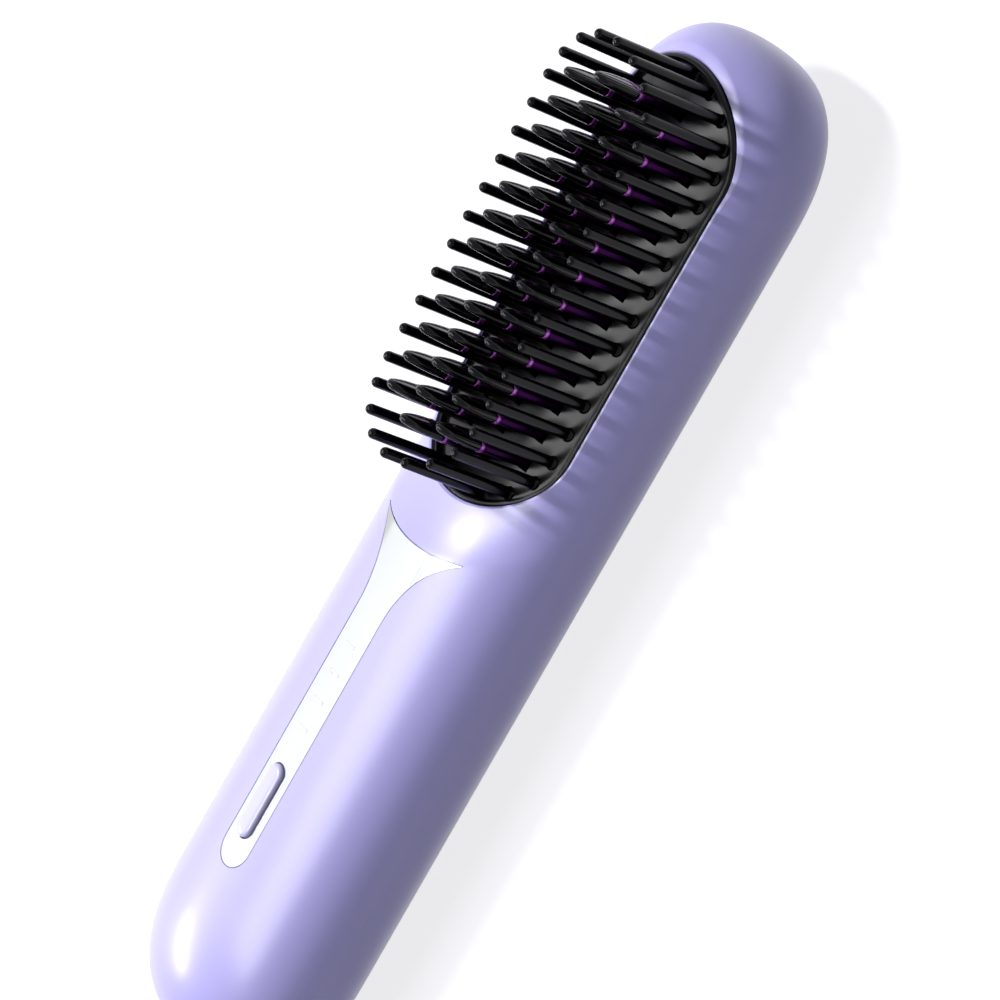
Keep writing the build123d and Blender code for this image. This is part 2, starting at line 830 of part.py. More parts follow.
with BuildPart() as thermal_fuse:
    with BuildSketch(Plane.YZ.offset(fuse_x - fuse_length / 2)):
        with Locations((sensor_y, comb_bottom - fuse_radius)):
            RegularPolygon(fuse_radius, fuse_sides, major_radius=False, rotation=180 / fuse_sides)
    extrude(amount=fuse_length)
thermal_fuse.part.label = "thermal_fuse"
export_step(thermal_fuse.part, "parts/thermal_fuse.step")

# Strip let into the top of the handle
with BuildPart() as decorative_strip:
    with BuildSketch(Plane.XY.offset(axis_height)):
        add(strip_shape.sketch)
    extrude(amount=half_height)
    add(strip_top, mode=Mode.INTERSECT)
    add(strip_bed, mode=Mode.SUBTRACT)
    with BuildSketch(Plane.XY.offset(axis_height)):
        with Locations((button_x, 0)):
            SlotOverall(button_length + 2 * button_gap, button_width + 2 * button_gap)
        with Locations(*lights_at):
            Rectangle(light_width + 2 * light_slot_clearance, light_length + 2 * light_slot_clearance)
    extrude(amount=half_height, mode=Mode.SUBTRACT)
decorative_strip.part.label = "decorative_strip"
export_step(decorative_strip.part, "parts/decorative_strip.step")

# Button with the flange that holds it under the wall
button_bottom = crown_height - wall - button_flange_play - button_flange_height
with BuildPart() as power_button:
    with BuildSketch(Plane.XY.offset(button_bottom)):
        with Locations((button_x, 0)):
            Rectangle(
                button_length + 2 * button_flange_margin,
                button_width + 2 * button_flange_margin,
            )
    extrude(amount=button_flange_height)
    with BuildSketch(Plane.XY.offset(button_bottom)):
        with Locations((button_x, 0)):
            SlotOverall(button_length, button_width)
    extrude(amount=crown_height + button_rise - button_bottom)
    chamfer(power_button.edges().group_by(Axis.Z)[-1], length=button_edge)
power_button.part.label = "power_button"
export_step(power_button.part, "parts/power_button.step")

# Light guide: four bars on one rail under the wall
light_rail_bottom = crown_height - wall - light_rail_height
with BuildPart() as light_guide:
    with BuildSketch(Plane.XY.offset(light_rail_bottom)):
        with Locations((lights_centre, 0)):
            Rectangle(
                light_pitch * (light_count - 1) + 2 * light_rail_margin,
                light_length + 2 * light_rail_margin,
            )
    extrude(amount=light_rail_height)
    with BuildSketch(Plane.XY.offset(light_rail_bottom)):
        with Locations(*lights_at):
            Rectangle(light_width, light_length)
    extrude(amount=crown_height - strip_flush - light_rail_bottom)
light_guide.part.label = "light_guide"
export_step(light_guide.part, "parts/light_guide.step")

# Main board with its parts
with BuildPart() as main_board:
    with BuildSketch(Plane.XY.offset(board_bottom)):
        with Locations((board_x, 0)):
            Rectangle(board_length, board_width)
    extrude(amount=board_thickness)
main_board.part.label = "main_board"
export_step(main_board.part, "parts/main_board.step")

with BuildPart() as leds:
    with BuildSketch(Plane.XY.offset(board_top)):
        with Locations(*lights_at):
            Rectangle(led_size, led_size)
    extrude(amount=led_height)
leds.part.label = "leds"
export_step(leds.part, "parts/leds.step")

with BuildPart() as controller_chip:
    with BuildSketch(Plane.XY.offset(board_bottom - chip_height)):
        with Locations((chip_x, 0)):
            Rectangle(chip_size, chip_size)
    extrude(amount=chip_height)
controller_chip.part.label = "controller_chip"
export_step(controller_chip.part, "parts/controller_chip.step")

# Push switch: its body on the board and the plunger that the button rests on
plunger_bottom = board_top + switch_height - plunger_sink
with BuildPart() as switch_body:
    with BuildSketch(Plane.XY.offset(board_top)):
        with Locations((button_x, 0)):
            Rectangle(switch_size, switch_size)
    extrude(amount=switch_height)
    with BuildSketch(Plane.XY.offset(plunger_bottom - button_travel - plunger_clearance)):
        with Locations((button_x, 0)):
            Rectangle(plunger_size + 2 * plunger_clearance, plunger_size + 2 * plunger_clearance)
    extrude(amount=switch_height, mode=Mode.SUBTRACT)
switch_body.part.label = "switch_body"
export_step(switch_body.part, "parts/switch_body.step")

with BuildPart() as switch_plunger:
    with BuildSketch(Plane.XY.offset(plunger_bottom)):
        with Locations((button_x, 0)):
            Rectangle(plunger_size, plunger_size)
    extrude(amount=button_bottom - plunger_bottom)
switch_plunger.part.label = "switch_plunger"
export_step(switch_plunger.part, "parts/switch_plunger.step")

# Battery: two cells side by side in a cradle on the cover
with BuildPart() as battery_cells:
    with BuildSketch(Plane.YZ.offset(cell_x - cell_length / 2)):
        with Locations(*[(y, cell_height) for y in cells_at]):
            RegularPolygon(cell_radius, cell_sides)
    extrude(amount=cell_length)
battery_cells.part.label = "battery_cells"
export_step(battery_cells.part, "parts/battery_cells.step")

with BuildPart() as battery_cradle:
    with BuildSketch(Plane.YZ.offset(cell_x - cradle_length / 2)):
        with Locations((0, cradle_top)):
            Rectangle(cradle_width, cradle_top, align=(Align.CENTER, Align.MAX))
        with Locations(*[(y, cell_height) for y in cells_at]):
            RegularPolygon(cell_radius, cell_sides, mode=Mode.SUBTRACT)
    extrude(amount=cradle_length)
    add(inner_bar, mode=Mode.INTERSECT)
battery_cradle.part.label = "battery_cradle"
export_step(battery_cradle.part, "parts/battery_cradle.step")

with BuildPart() as cell_links:
    with BuildSketch(Plane.YZ.offset(cell_x - cell_length / 2 - link_thickness)):
        with Locations((0, cell_height)):
            Rectangle(cell_spacing + link_width, link_width)
    extrude(amount=link_thickness)
    with BuildSketch(Plane.YZ.offset(cell_x + cell_length / 2)):
        with Locations(*[(y, cell_height) for y in cells_at]):
            Rectangle(link_width, link_width)
    extrude(amount=link_thickness)
cell_links.part.label = "cell_links"
export_step(cell_links.part, "parts/cell_links.step")

# Charging port on its own board
with BuildPart() as charging_board:
    with BuildSketch(Plane.XY.offset(charge_board_top - charge_board_thickness)):
        with Locations((charge_board_x, 0)):
            Rectangle(charge_board_length, charge_board_width)
    extrude(amount=charge_board_thickness)
charging_board.part.label = "charging_board"
export_step(charging_board.part, "parts/charging_board.step")

with BuildPart() as usb_shell:
    with BuildSketch(Plane.YZ.offset(port_x)):
        with Locations((0, axis_height)):
            add(port_outline(0))
            add(port_outline(-port_shell), mode=Mode.SUBTRACT)
    extrude(amount=port_depth)
    with BuildSketch(Plane.YZ.offset(port_x + port_depth - port_back)):
        with Locations((0, axis_height)):
            add(port_outline(0))
    extrude(amount=port_back)
usb_shell.part.label = "usb_shell"
export_step(usb_shell.part, "parts/usb_shell.step")

with BuildPart() as usb_tongue:
    with BuildSketch(Plane.YZ.offset(port_x + port_depth - port_back - port_tongue_length)):
        with Locations((0, axis_height)):
            Rectangle(port_tongue_width, port_tongue_thickness)
    extrude(amount=port_tongue_length)
usb_tongue.part.label = "usb_tongue"
export_step(usb_tongue.part, "parts/usb_tongue.step")

# Wires from the main board to the heater, the charging board and the cells
heater_wires = wires(
    *[
        [
            (heater_wire_x, y, board_bottom),
            (heater_wire_x, y, heater_wire_height),
            (heater_end_x - heater_wire_lead, y, heater_wire_height),
            (heater_end_x - heater_wire_lead, y, heater_wire_end),
            (heater_end_x, y, heater_wire_end),
        ]
        for y in wires_at
    ]
)
heater_wires.label = "heater_wires"
export_step(heater_wires, "parts/heater_wires.step")
charging_wires = wires(
    *[
        [
            (charging_wire_x, y, charge_board_top),
            (charging_wire_x, y, charging_wire_height),
            (charging_wire_end_x, y, charging_wire_height),
            (charging_wire_end_x, y, board_bottom),
        ]
        for y in wires_at
    ]
)
charging_wires.label = "charging_wires"
export_step(charging_wires, "parts/charging_wires.step")
battery_wires = wires(
    *[
        [
            (links_x, y, cell_height),
            (links_x + battery_wire_lead, y, cell_height),
            (battery_wire_x, y * battery_wire_share, cell_height),
            (battery_wire_x, y * battery_wire_share, board_bottom),
        ]
        for y in cells_at
    ]
)
battery_wires.label = "battery_wires"
export_step(battery_wires, "parts/battery_wires.step")
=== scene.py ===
import json
import math
import bmesh
import bpy
import numpy as np
from mathutils import Matrix, Vector


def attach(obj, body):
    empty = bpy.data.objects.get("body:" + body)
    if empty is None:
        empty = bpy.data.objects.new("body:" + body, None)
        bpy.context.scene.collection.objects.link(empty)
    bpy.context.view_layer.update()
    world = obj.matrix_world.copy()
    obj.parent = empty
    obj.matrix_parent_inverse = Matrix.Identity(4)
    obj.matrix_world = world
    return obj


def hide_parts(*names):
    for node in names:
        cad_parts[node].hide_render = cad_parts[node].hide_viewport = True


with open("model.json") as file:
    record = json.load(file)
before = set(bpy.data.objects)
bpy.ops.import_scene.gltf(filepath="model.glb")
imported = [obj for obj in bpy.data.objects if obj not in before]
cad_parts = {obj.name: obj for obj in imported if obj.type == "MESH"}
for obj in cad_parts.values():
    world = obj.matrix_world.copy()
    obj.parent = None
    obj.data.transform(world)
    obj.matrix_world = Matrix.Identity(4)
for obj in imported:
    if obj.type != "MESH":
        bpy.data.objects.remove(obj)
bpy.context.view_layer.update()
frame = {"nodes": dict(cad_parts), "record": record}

# Cordless heated straightening brush. Sizes are in millimetres, in the CAD frame: +X runs from
# the charging port to the head, +Z up the bristles. Meshes are scaled to metres when made.
MM = 0.001
nodes = frame["nodes"]

# ---------------------------------------------------------------- sizes
HALF_Y = 25.24           # half-width of the body
HALF_Z = 16.66           # half-height
MID_Z = 16.3             # height of the body's axis
END_X = 107.9            # reach of both ends
TAPER_X = 79.4           # beyond it the section shrinks
TAPER_LENGTH = END_X - TAPER_X
POWER = 2.62             # fullness of the ends
WALL = 2.0
SPLIT_Z = 5.0            # height of the seam between housing and cover
FIELD_X = 54.0           # middle of the bristle opening
RUN = 28.0               # half of its straight sides
RIM_X = 17.8             # half-axes of its round ends
RIM_Y = 20.3
FLANGE_Z = 20.5          # top of the plate's flange, under the lip
PLATE_INSET = 1.2        # gap between the opening's rim and the plate, where the ring lies
PLATE_FOOT = 21.0
PLATE_TOP = 29.1         # height of the plate's crown along the middle
PLATE_RADIUS = 48.8      # radius of that crown
RING_TOP = 30.4
RING_RADIUS = 46.0
RING_FOOT = 20.6
RING_UNDER = 0.35        # it stays at least this far under the body's surface
DISH_DEPTH = 2.2         # the dish lies between the bristle opening and the strip
DISH_REACH = 11.6        # how far it goes beyond the opening's rim
DISH_END = 1.4           # share of that reach where its rolled edge ends
DISH_ROLL = 0.09         # how softly that edge is rolled over
DISH_TURN = 1.46         # angle from the long axis, in radians, where its depth has faded out
DISH_WRAP = 1.66         # angle where its reach would come to nothing
DISH_HOLD = 1.6          # angle from which its reach stays the same
DISH_SLOPE = 0.55        # how its depth falls off outwards: this much in a straight line
DISH_CURVE = 0.45        # and this much as a square
BEYOND_X = 120.0         # clear of the body, for cutting blocks
BEYOND_Y = 40.0
ABOVE = 45.0             # over the body, for cutters


# ---------------------------------------------------------------- the body's form
def end_scale(x):
    """How much the section has shrunk at x."""
    u = np.clip((np.abs(x) - TAPER_X) / TAPER_LENGTH, 0, 1)
    return (1 - u**POWER) ** (1 / POWER)


def body_top(x, y, inset=0.0):
    """Height of the upper surface over a point of the plan."""
    k = np.maximum(end_scale(x), 1e-4)
    out = np.clip(np.abs(y) / ((HALF_Y - inset) * k), 0, 0.9995)     # past the edge it stays level
    return MID_Z + (HALF_Z - inset) * k * np.sqrt(1 - out**2)


def body_shares(p):
    """How far points p, an array of rows, lie along the taper and out from the axis, as shares."""
    u = np.clip((np.abs(p[:, 0]) - TAPER_X) / TAPER_LENGTH, 0, None)
    q = np.sqrt((p[:, 1] / HALF_Y) ** 2 + ((p[:, 2] - MID_Z) / HALF_Z) ** 2)
    return u, q


def body_normal(p):
    """Outward normal of the body at points p."""
    x, y, z = p[:, 0], p[:, 1], p[:, 2] - MID_Z
    u, q = body_shares(p)
    w = np.maximum(q, 1e-6) ** (POWER - 2)
    n = np.stack(
        [np.sign(x) * u ** (POWER - 1) / TAPER_LENGTH, w * y / HALF_Y**2, w * z / HALF_Z**2], 1
    )
    return n / np.maximum(np.linalg.norm(n, axis=1, keepdims=True), 1e-9)


def body_level(p):
    """Below 1 inside the body, 1 on its surface."""
    u, q = body_shares(p)
    return (q**POWER + u**POWER) ** (1 / POWER)


def rim_reach(turn):
    """Reach of the opening's round end from its middle, at an angle from the long axis."""
    return 1 / np.sqrt((np.cos(turn) / RIM_X) ** 2 + (np.sin(turn) / RIM_Y) ** 2)


def dish_reach(turn):
    """How far the dish goes beyond the rim, at an angle from the long axis."""
    return DISH_REACH * (1 - (np.minimum(np.abs(turn), DISH_HOLD) / DISH_WRAP) ** 3.2)


def dish_place(x, y):
    """Share of the way across the dish, and the share of its full depth there."""
    dx, dy = (FIELD_X - RUN) - x, y
    turn = np.arctan2(np.abs(dy), dx)
    fade = np.clip(np.cos(np.minimum(turn, DISH_TURN) * math.pi / 2 / DISH_TURN), 0, 1)
    share = (np.hypot(dx, dy) - rim_reach(turn)) / dish_reach(turn)
    return share, fade


def dish_drop(x, y):
    """How far the dish lies under the body's own surface. Its outer edge is rolled over."""
    share, fade = dish_place(x, y)
    straight = 1 - DISH_SLOPE * share
    bowl = np.where(share > 0, straight - DISH_CURVE * share**2, straight)
    depth = DISH_DEPTH * fade**1.35 * bowl
    return (depth + np.sqrt(depth**2 + (2 * DISH_ROLL * fade) ** 2)) / 2


def surface_top(x, y):
    """Height of the finished upper surface, the dish included."""
    return body_top(x, y) - dish_drop(x, y)


def plate_top(y):
    """Height of the plate's crown."""
    return PLATE_TOP - PLATE_RADIUS + np.sqrt(PLATE_RADIUS**2 - y**2)


def ring_top(x, y):
    """Height of the ring: its own crown, but always under the body's surface."""
    crown = RING_TOP - RING_RADIUS + np.sqrt(RING_RADIUS**2 - y**2)
    return np.minimum(crown, surface_top(x, y) - RING_UNDER)


def rim_line(count, inset=0.0):
    """Points and outward normals along the bristle opening, drawn in by inset."""
    fine = 4000
    t = np.linspace(0, 2 * math.pi, fine, endpoint=False)
    px = RIM_X * np.cos(t) + np.where(np.cos(t) >= 0, RUN, -RUN)
    py = RIM_Y * np.sin(t)
    nx, ny = np.cos(t) / RIM_X, np.sin(t) / RIM_Y
    length = np.hypot(nx, ny)
    nx, ny = nx / length, ny / length
    px, py = px - inset * nx, py - inset * ny
    step = np.hypot(np.diff(px, append=px[0]), np.diff(py, append=py[0]))
    along = np.concatenate([[0], np.cumsum(step)])
    want = np.linspace(0, along[-1], count, endpoint=False)
    ring = [np.interp(want, along, np.append(v, v[0])) for v in (px, py, nx, ny)]
    ring[0] = ring[0] + FIELD_X
    return ring


# ---------------------------------------------------------------- mesh helpers
def make_object(name, verts, faces, smooth=True):
    """A new object in the scene, from points in millimetres."""
    mesh = bpy.data.meshes.new(name)
    mesh.from_pydata([tuple(float(c) * MM for c in v) for v in verts], [], faces)
    mesh.validate()
    mesh.update()
    for poly in mesh.polygons:
        poly.use_smooth = smooth
    obj = bpy.data.objects.new(name, mesh)
    bpy.context.scene.collection.objects.link(obj)
    return obj


def outward(obj):
    """Turn the faces so that all normals point outwards."""
    bm = bmesh.new()
    bm.from_mesh(obj.data)
    bmesh.ops.recalc_face_normals(bm, faces=bm.faces)
    bm.to_mesh(obj.data)
    bm.free()
    return obj


def rings_mesh(rings, cap_first=True, cap_last=True):
    """Vertices and faces of a tube through rings that all have the same number of points."""
    verts, faces = [], []
    count = len(rings[0])
    for ring in rings:
        verts.extend(ring)
    for r in range(len(rings) - 1):
        for j in range(count):
            k = (j + 1) % count
            faces.append((r * count + j, r * count + k, (r + 1) * count + k, (r + 1) * count + j))
    if cap_first:
        faces.append(tuple(reversed(range(count))))
    if cap_last:
        faces.append(tuple((len(rings) - 1) * count + j for j in range(count)))
    return verts, faces


def closed_rings(rings):
    """A tube whose last ring joins the first, such as a ring round the opening."""
    verts, faces = rings_mesh(rings, False, False)
    count, last = len(rings[0]), len(rings) - 1
    for j in range(count):
        k = (j + 1) % count
        faces.append((last * count + j, last * count + k, k, j))
    return verts, faces


def grid_solid(first, second):
    """The closed solid between two grids of points that have the same rows and columns."""
    rows, cols = len(first), len(first[0])
    verts = [v for row in first for v in row] + [v for row in second for v in row]
    off = rows * cols
    faces = []
    for r in range(rows - 1):
        for c in range(cols - 1):
            a, b = r * cols + c, r * cols + c + 1
            faces.append((a, b, b + cols, a + cols))
            faces.append((off + a, off + a + cols, off + b + cols, off + b))
    for c in range(cols - 1):
        faces.append((c, off + c, off + c + 1, c + 1))
        e = (rows - 1) * cols + c
        faces.append((e, e + 1, off + e + 1, off + e))
    for r in range(rows - 1):
        a = r * cols
        faces.append((a, a + cols, off + a + cols, off + a))
        b = a + cols - 1
        faces.append((b, off + b, off + b + cols, b + cols))
    return verts, faces


def join_parts(parts):
    """One list of vertices and faces from several."""
    verts, faces = [], []
    for v, f in parts:
        base = len(verts)
        verts.extend(v)
        faces.extend(tuple(i + base for i in face) for face in f)
    return verts, faces


def discard(obj):
    """Delete an object and its mesh."""
    mesh = obj.data
    bpy.data.objects.remove(obj)
    bpy.data.meshes.remove(mesh)


def apply_modifiers(obj):
    """Put what the modifiers make into the mesh itself."""
    graph = bpy.context.evaluated_depsgraph_get()
    mesh = bpy.data.meshes.new_from_object(obj.evaluated_get(graph))
    old = obj.data
    obj.modifiers.clear()
    obj.data = mesh
    bpy.data.meshes.remove(old)
    return obj


def carve(obj, cutter, operation="DIFFERENCE"):
    """Cut the cutter out of the object, or join it on, and delete the cutter."""
    mod = obj.modifiers.new("carve", "BOOLEAN")
    mod.operation = operation
    mod.solver = "EXACT"
    mod.object = cutter
    apply_modifiers(obj)
    discard(cutter)
    return obj


def merge_objects(target, *others):
    """Put other objects' meshes into the target's."""
    bm = bmesh.new()
    bm.from_mesh(target.data)
    for other in others:
        bm.from_mesh(other.data)
        discard(other)
    bm.to_mesh(target.data)
    bm.free()
    return target


def block(lo, hi):
    """A cutting block between two corners."""
    x0, y0, z0 = lo
    x1, y1, z1 = hi
    verts = [(x, y, z) for x in (x0, x1) for y in (y0, y1) for z in (z0, z1)]
    faces = [(0, 1, 3, 2), (4, 6, 7, 5), (0, 4, 5, 1), (2, 3, 7, 6), (0, 2, 6, 4), (1, 5, 7, 3)]
    return outward(make_object("cutter", verts, faces, smooth=False))


def layer(low=-20, high=60):
    """A cutting block over the whole plan, up to a height or down to one."""
    return block((-BEYOND_X, -BEYOND_Y, low), (BEYOND_X, BEYOND_Y, high))


def soften(obj, width, segments=2, angle=35):
    """Round the edges that are sharper than the angle."""
    mod = obj.modifiers.new("edges", "BEVEL")
    mod.width = width * MM
    mod.segments = segments
    mod.limit_method = "ANGLE"
    mod.angle_limit = math.radians(angle)
    mod.harden_normals = False
    return apply_modifiers(obj)


def shade_by_angle(obj, angle=32):
    """Sharp edges where faces meet at more than the angle, smooth shading elsewhere."""
    bm = bmesh.new()
    bm.from_mesh(obj.data)
    for face in bm.faces:
        face.smooth = True
    for edge in bm.edges:
        if len(edge.link_faces) == 2:
            edge.smooth = edge.calc_face_angle(0) < math.radians(angle)
    bm.to_mesh(obj.data)
    bm.free()
    return obj


NEAR_DISH = 0.02         # a point this near the dish, in millimetres, lies on it
NEAR_BODY = 0.0025       # and one with a level this near 1 lies on the body
ALIKE = 0.8              # least cosine between a face's normal and the surface's


def true_normals(obj):
    """Give faces that lie on the body or in the dish that surface's exact normals."""
    shade_by_angle(obj)
    mesh = obj.data
    points = np.empty(len(mesh.vertices) * 3)
    mesh.vertices.foreach_get("co", points)
    points = points.reshape(-1, 3) / MM
    x, y, z = points.T
    body = body_normal(points)
    step = 0.02
    slope_x = (surface_top(x + step, y) - surface_top(x - step, y)) / (2 * step)
    slope_y = (surface_top(x, y + step) - surface_top(x, y - step)) / (2 * step)
    dish = np.stack([-slope_x, -slope_y, np.ones_like(x)], 1)
    dish /= np.linalg.norm(dish, axis=1, keepdims=True)
    share, fade = dish_place(x, y)
    on_dish = (np.abs(z - surface_top(x, y)) < NEAR_DISH) & (share < DISH_END) & (fade > 0.02)
    on_body = (np.abs(body_level(points) - 1) < NEAR_BODY) & ~on_dish
    # a surface's normals, where some corner has to lie, and where all corners have to lie
    surfaces = ((body, on_body, on_body | on_dish), (dish, on_dish, on_dish))
    normals = np.zeros((len(mesh.loops), 3))             # zero keeps a corner's own normal
    for poly in mesh.polygons:
        corners = list(poly.vertices)
        for surface, present, allowed in surfaces:
            alike = surface[corners] @ np.array(poly.normal) > ALIKE
            if present[corners].any() and allowed[corners].all() and alike.all():
                normals[list(poly.loop_indices)] = surface[corners]
                break
    mesh.normals_split_custom_set([tuple(v) for v in normals])
    return obj


# ---------------------------------------------------------------- materials
NOISE_LOW = 0.3          # a noise texture stays mostly between these
NOISE_HIGH = 0.7
materials = {}           # by name, and the record's material slots have the same names


def tree_of(name):
    """The node tree and the shader of a new material."""
    mat = bpy.data.materials.new(name)
    materials[name] = mat
    mat.use_nodes = True
    tree = mat.node_tree
    tree.nodes.clear()
    out = tree.nodes.new("ShaderNodeOutputMaterial")
    shader = tree.nodes.new("ShaderNodeBsdfPrincipled")
    tree.links.new(shader.outputs["BSDF"], out.inputs["Surface"])
    return tree, shader


def coords(tree, scale=(1, 1, 1)):
    """The object's own coordinates in metres, stretched by scale."""
    place = tree.nodes.new("ShaderNodeTexCoord")
    stretch = tree.nodes.new("ShaderNodeMapping")
    stretch.inputs["Scale"].default_value = scale
    tree.links.new(place.outputs["Object"], stretch.inputs["Vector"])
    return stretch.outputs["Vector"]


def noise(tree, vector, scale, detail=4.0, rough=0.5):
    """A noise texture's value."""
    texture = tree.nodes.new("ShaderNodeTexNoise")
    texture.inputs["Scale"].default_value = scale
    texture.inputs["Detail"].default_value = detail
    texture.inputs["Roughness"].default_value = rough
    tree.links.new(vector, texture.inputs["Vector"])
    return texture.outputs["Fac"]


def remap(tree, value, low, high):
    """A noise value, spread from low to high."""
    spread = tree.nodes.new("ShaderNodeMapRange")
    spread.inputs["From Min"].default_value = NOISE_LOW
    spread.inputs["From Max"].default_value = NOISE_HIGH
    spread.inputs["To Min"].default_value = low
    spread.inputs["To Max"].default_value = high
    tree.links.new(value, spread.inputs["Value"])
    return spread.outputs["Result"]


def tinted(tree, value, colour, spread):
    """The colour, darker by a share where a noise value is low, and lighter where it is high."""
    ramp = tree.nodes.new("ShaderNodeValToRGB")
    low, high = ramp.color_ramp.elements
    low.position, high.position = NOISE_LOW, NOISE_HIGH
    low.color = (*[c * (1 - spread) for c in colour], 1)
    high.color = (*[c * (1 + spread) for c in colour], 1)
    tree.links.new(value, ramp.inputs["Fac"])
    return ramp.outputs["Color"]


def bump(tree, value, strength, distance):
    """A bumped normal. The distance is in millimetres."""
    relief = tree.nodes.new("ShaderNodeBump")
    relief.inputs["Strength"].default_value = strength
    relief.inputs["Distance"].default_value = distance * MM
    tree.links.new(value, relief.inputs["Height"])
    return relief.outputs["Normal"]


def srgb(r, g, b):
    """Linear colour from an 8-bit screen colour."""
    def lin(c):
        c = c / 255
        return c / 12.92 if c <= 0.04045 else ((c + 0.055) / 1.055) ** 2.4
    return (lin(r), lin(g), lin(b))


def moulded(name, colour, rough=0.3, coat=0.0, coat_rough=0.1, grain=2600.0, depth=0.004,
            spread=0.05, specular=0.5, patch=14.0, subsurface=0.0):
    """Moulded plastic: a little drift in its colour, fine texture and uneven gloss."""
    tree, shader = tree_of(name)
    place = coords(tree)
    drift = noise(tree, place, patch, 3)
    gloss = noise(tree, place, patch * 2.3, 2)
    tree.links.new(tinted(tree, drift, colour, spread), shader.inputs["Base Color"])
    tree.links.new(remap(tree, gloss, rough * 0.92, rough * 1.1), shader.inputs["Roughness"])
    tree.links.new(bump(tree, noise(tree, place, grain, 2), 0.2, depth), shader.inputs["Normal"])
    shader.inputs["Specular IOR Level"].default_value = specular
    shader.inputs["Coat Weight"].default_value = coat
    shader.inputs["Coat Roughness"].default_value = coat_rough
    shader.inputs["Subsurface Weight"].default_value = subsurface


def brushed(name, colour, rough=0.25, stretch=(0.04, 1, 1), grain=900.0, depth=0.01, spread=0.06):
    """Metal with a fine drawn grain."""
    tree, shader = tree_of(name)
    lines = noise(tree, coords(tree, stretch), grain, 5, 0.6)
    drift = noise(tree, coords(tree), 20, 2)
    tree.links.new(tinted(tree, drift, colour, spread), shader.inputs["Base Color"])
    tree.links.new(remap(tree, lines, rough * 0.85, rough * 1.18), shader.inputs["Roughness"])
    tree.links.new(bump(tree, lines, 0.25, depth), shader.inputs["Normal"])
    shader.inputs["Metallic"].default_value = 1.0


moulded("lilac_shell", srgb(184, 178, 240), rough=0.33, coat=0.25, coat_rough=0.2, spread=0.012,
        depth=0.001, specular=0.75, patch=9)
moulded("lilac_button", srgb(204, 201, 243), rough=0.24, coat=0.6, coat_rough=0.08, spread=0.012,
        depth=0.001)
moulded("black_gloss", srgb(11, 10, 12), rough=0.17, spread=0.12, depth=0.001, specular=0.22,
        patch=60)
moulded("black_ring", srgb(10, 10, 12), rough=0.3, spread=0.1, depth=0.002, specular=0.26)
moulded("black_cap", srgb(11, 10, 12), rough=0.16, spread=0.12, depth=0.0008, specular=0.34,
        patch=60)
brushed("violet_metal", srgb(44, 11, 54), rough=0.26, stretch=(1, 1, 0.06), grain=1400,
        depth=0.004)
# lighter pink colour of the band under the caps: a painted highlight on the metal's edge
brushed("violet_edge_highlight", srgb(168, 90, 180), rough=0.34, stretch=(1, 0.06, 1), grain=1400,
        depth=0.002)
brushed("silver_strip", srgb(222, 224, 222), rough=0.17, stretch=(0.03, 1, 1), grain=2600,
        depth=0.0006, spread=0.02)
moulded("clear_guide", srgb(244, 245, 248), rough=0.25, spread=0.02, depth=0.002, subsurface=0.2)
moulded("led_white", srgb(236, 230, 190), rough=0.3, spread=0.04)
brushed("screw_steel", srgb(150, 152, 156), rough=0.32, stretch=(1, 1, 1), grain=700)
brushed("port_steel", srgb(168, 170, 174), rough=0.24, stretch=(0.1, 1, 1))
moulded("heater_ceramic", srgb(232, 228, 216), rough=0.6, grain=500, spread=0.06)
moulded("pad_rubber", srgb(196, 92, 60), rough=0.7, grain=600, spread=0.08)
moulded("inner_plastic", srgb(210, 210, 214), rough=0.45, spread=0.04)
moulded("board_green", srgb(24, 92, 58), rough=0.35, grain=900, spread=0.18, patch=120)
moulded("chip_black", srgb(30, 30, 32), rough=0.5, grain=900, spread=0.1)
moulded("cell_wrap", srgb(40, 112, 182), rough=0.28, spread=0.06, patch=40)
moulded("wire_red", srgb(178, 34, 30), rough=0.4, spread=0.08, patch=60)

for part in frame["record"]["subparts"]:
    obj = nodes[part["node"]]
    mat = materials[part["material_slot"]]
    for place in obj.material_slots:
        place.material = mat
    if not obj.material_slots:
        obj.data.materials.append(mat)


def dress(obj, slot, body, *replaced, material=None):
    """Finish a piece, put it on its body and let it stand for CAD nodes."""
    obj.data.materials.clear()
    obj.data.materials.append(materials[material or slot])
    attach(obj, body)
    if replaced:
        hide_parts(*replaced)
    return obj


# ---------------------------------------------------------------- body shell
def body_mesh(inset, around, rows, end_rows):
    """The closed form of the body, drawn in by inset."""
    half_y, half_z, length = HALF_Y - inset, HALF_Z - inset, TAPER_LENGTH - inset
    ends = [(math.pi / 2) * i / end_rows for i in range(1, end_rows)]
    right = [(TAPER_X + length * math.sin(t) ** (2 / POWER), math.cos(t) ** (2 / POWER))
             for t in ends]
    middle = [(x, 1.0) for x in np.linspace(-TAPER_X, TAPER_X, rows)]
    line = [(-x, k) for x, k in reversed(right)] + middle + right
    rings = []
    for x, k in line:
        ring = []
        for j in range(around):
            a = 2 * math.pi * j / around
            ring.append((x, half_y * k * math.sin(a), MID_Z + half_z * k * math.cos(a)))
        rings.append(ring)
    verts, faces = rings_mesh(rings, False, False)
    first, last = len(verts), len(verts) + 1
    verts += [(-TAPER_X - length, 0, MID_Z), (TAPER_X + length, 0, MID_Z)]
    base = (len(rings) - 1) * around
    for j in range(around):
        k = (j + 1) % around
        faces.append((first, k, j))
        faces.append((last, base + j, base + k))
    return verts, faces


AROUND = 160
shell = outward(make_object("housing_shell", *body_mesh(0, AROUND, 84, 26)))
carve(shell, layer(high=0))                              # the narrow flat that it rests on
inner = outward(make_object("inner", *body_mesh(WALL, 64, 20, 12)))
carve(inner, block((-10, -BEYOND_Y, 27.6), (12, BEYOND_Y, 60)))     # a thick wall under the dish
carve(shell, inner)


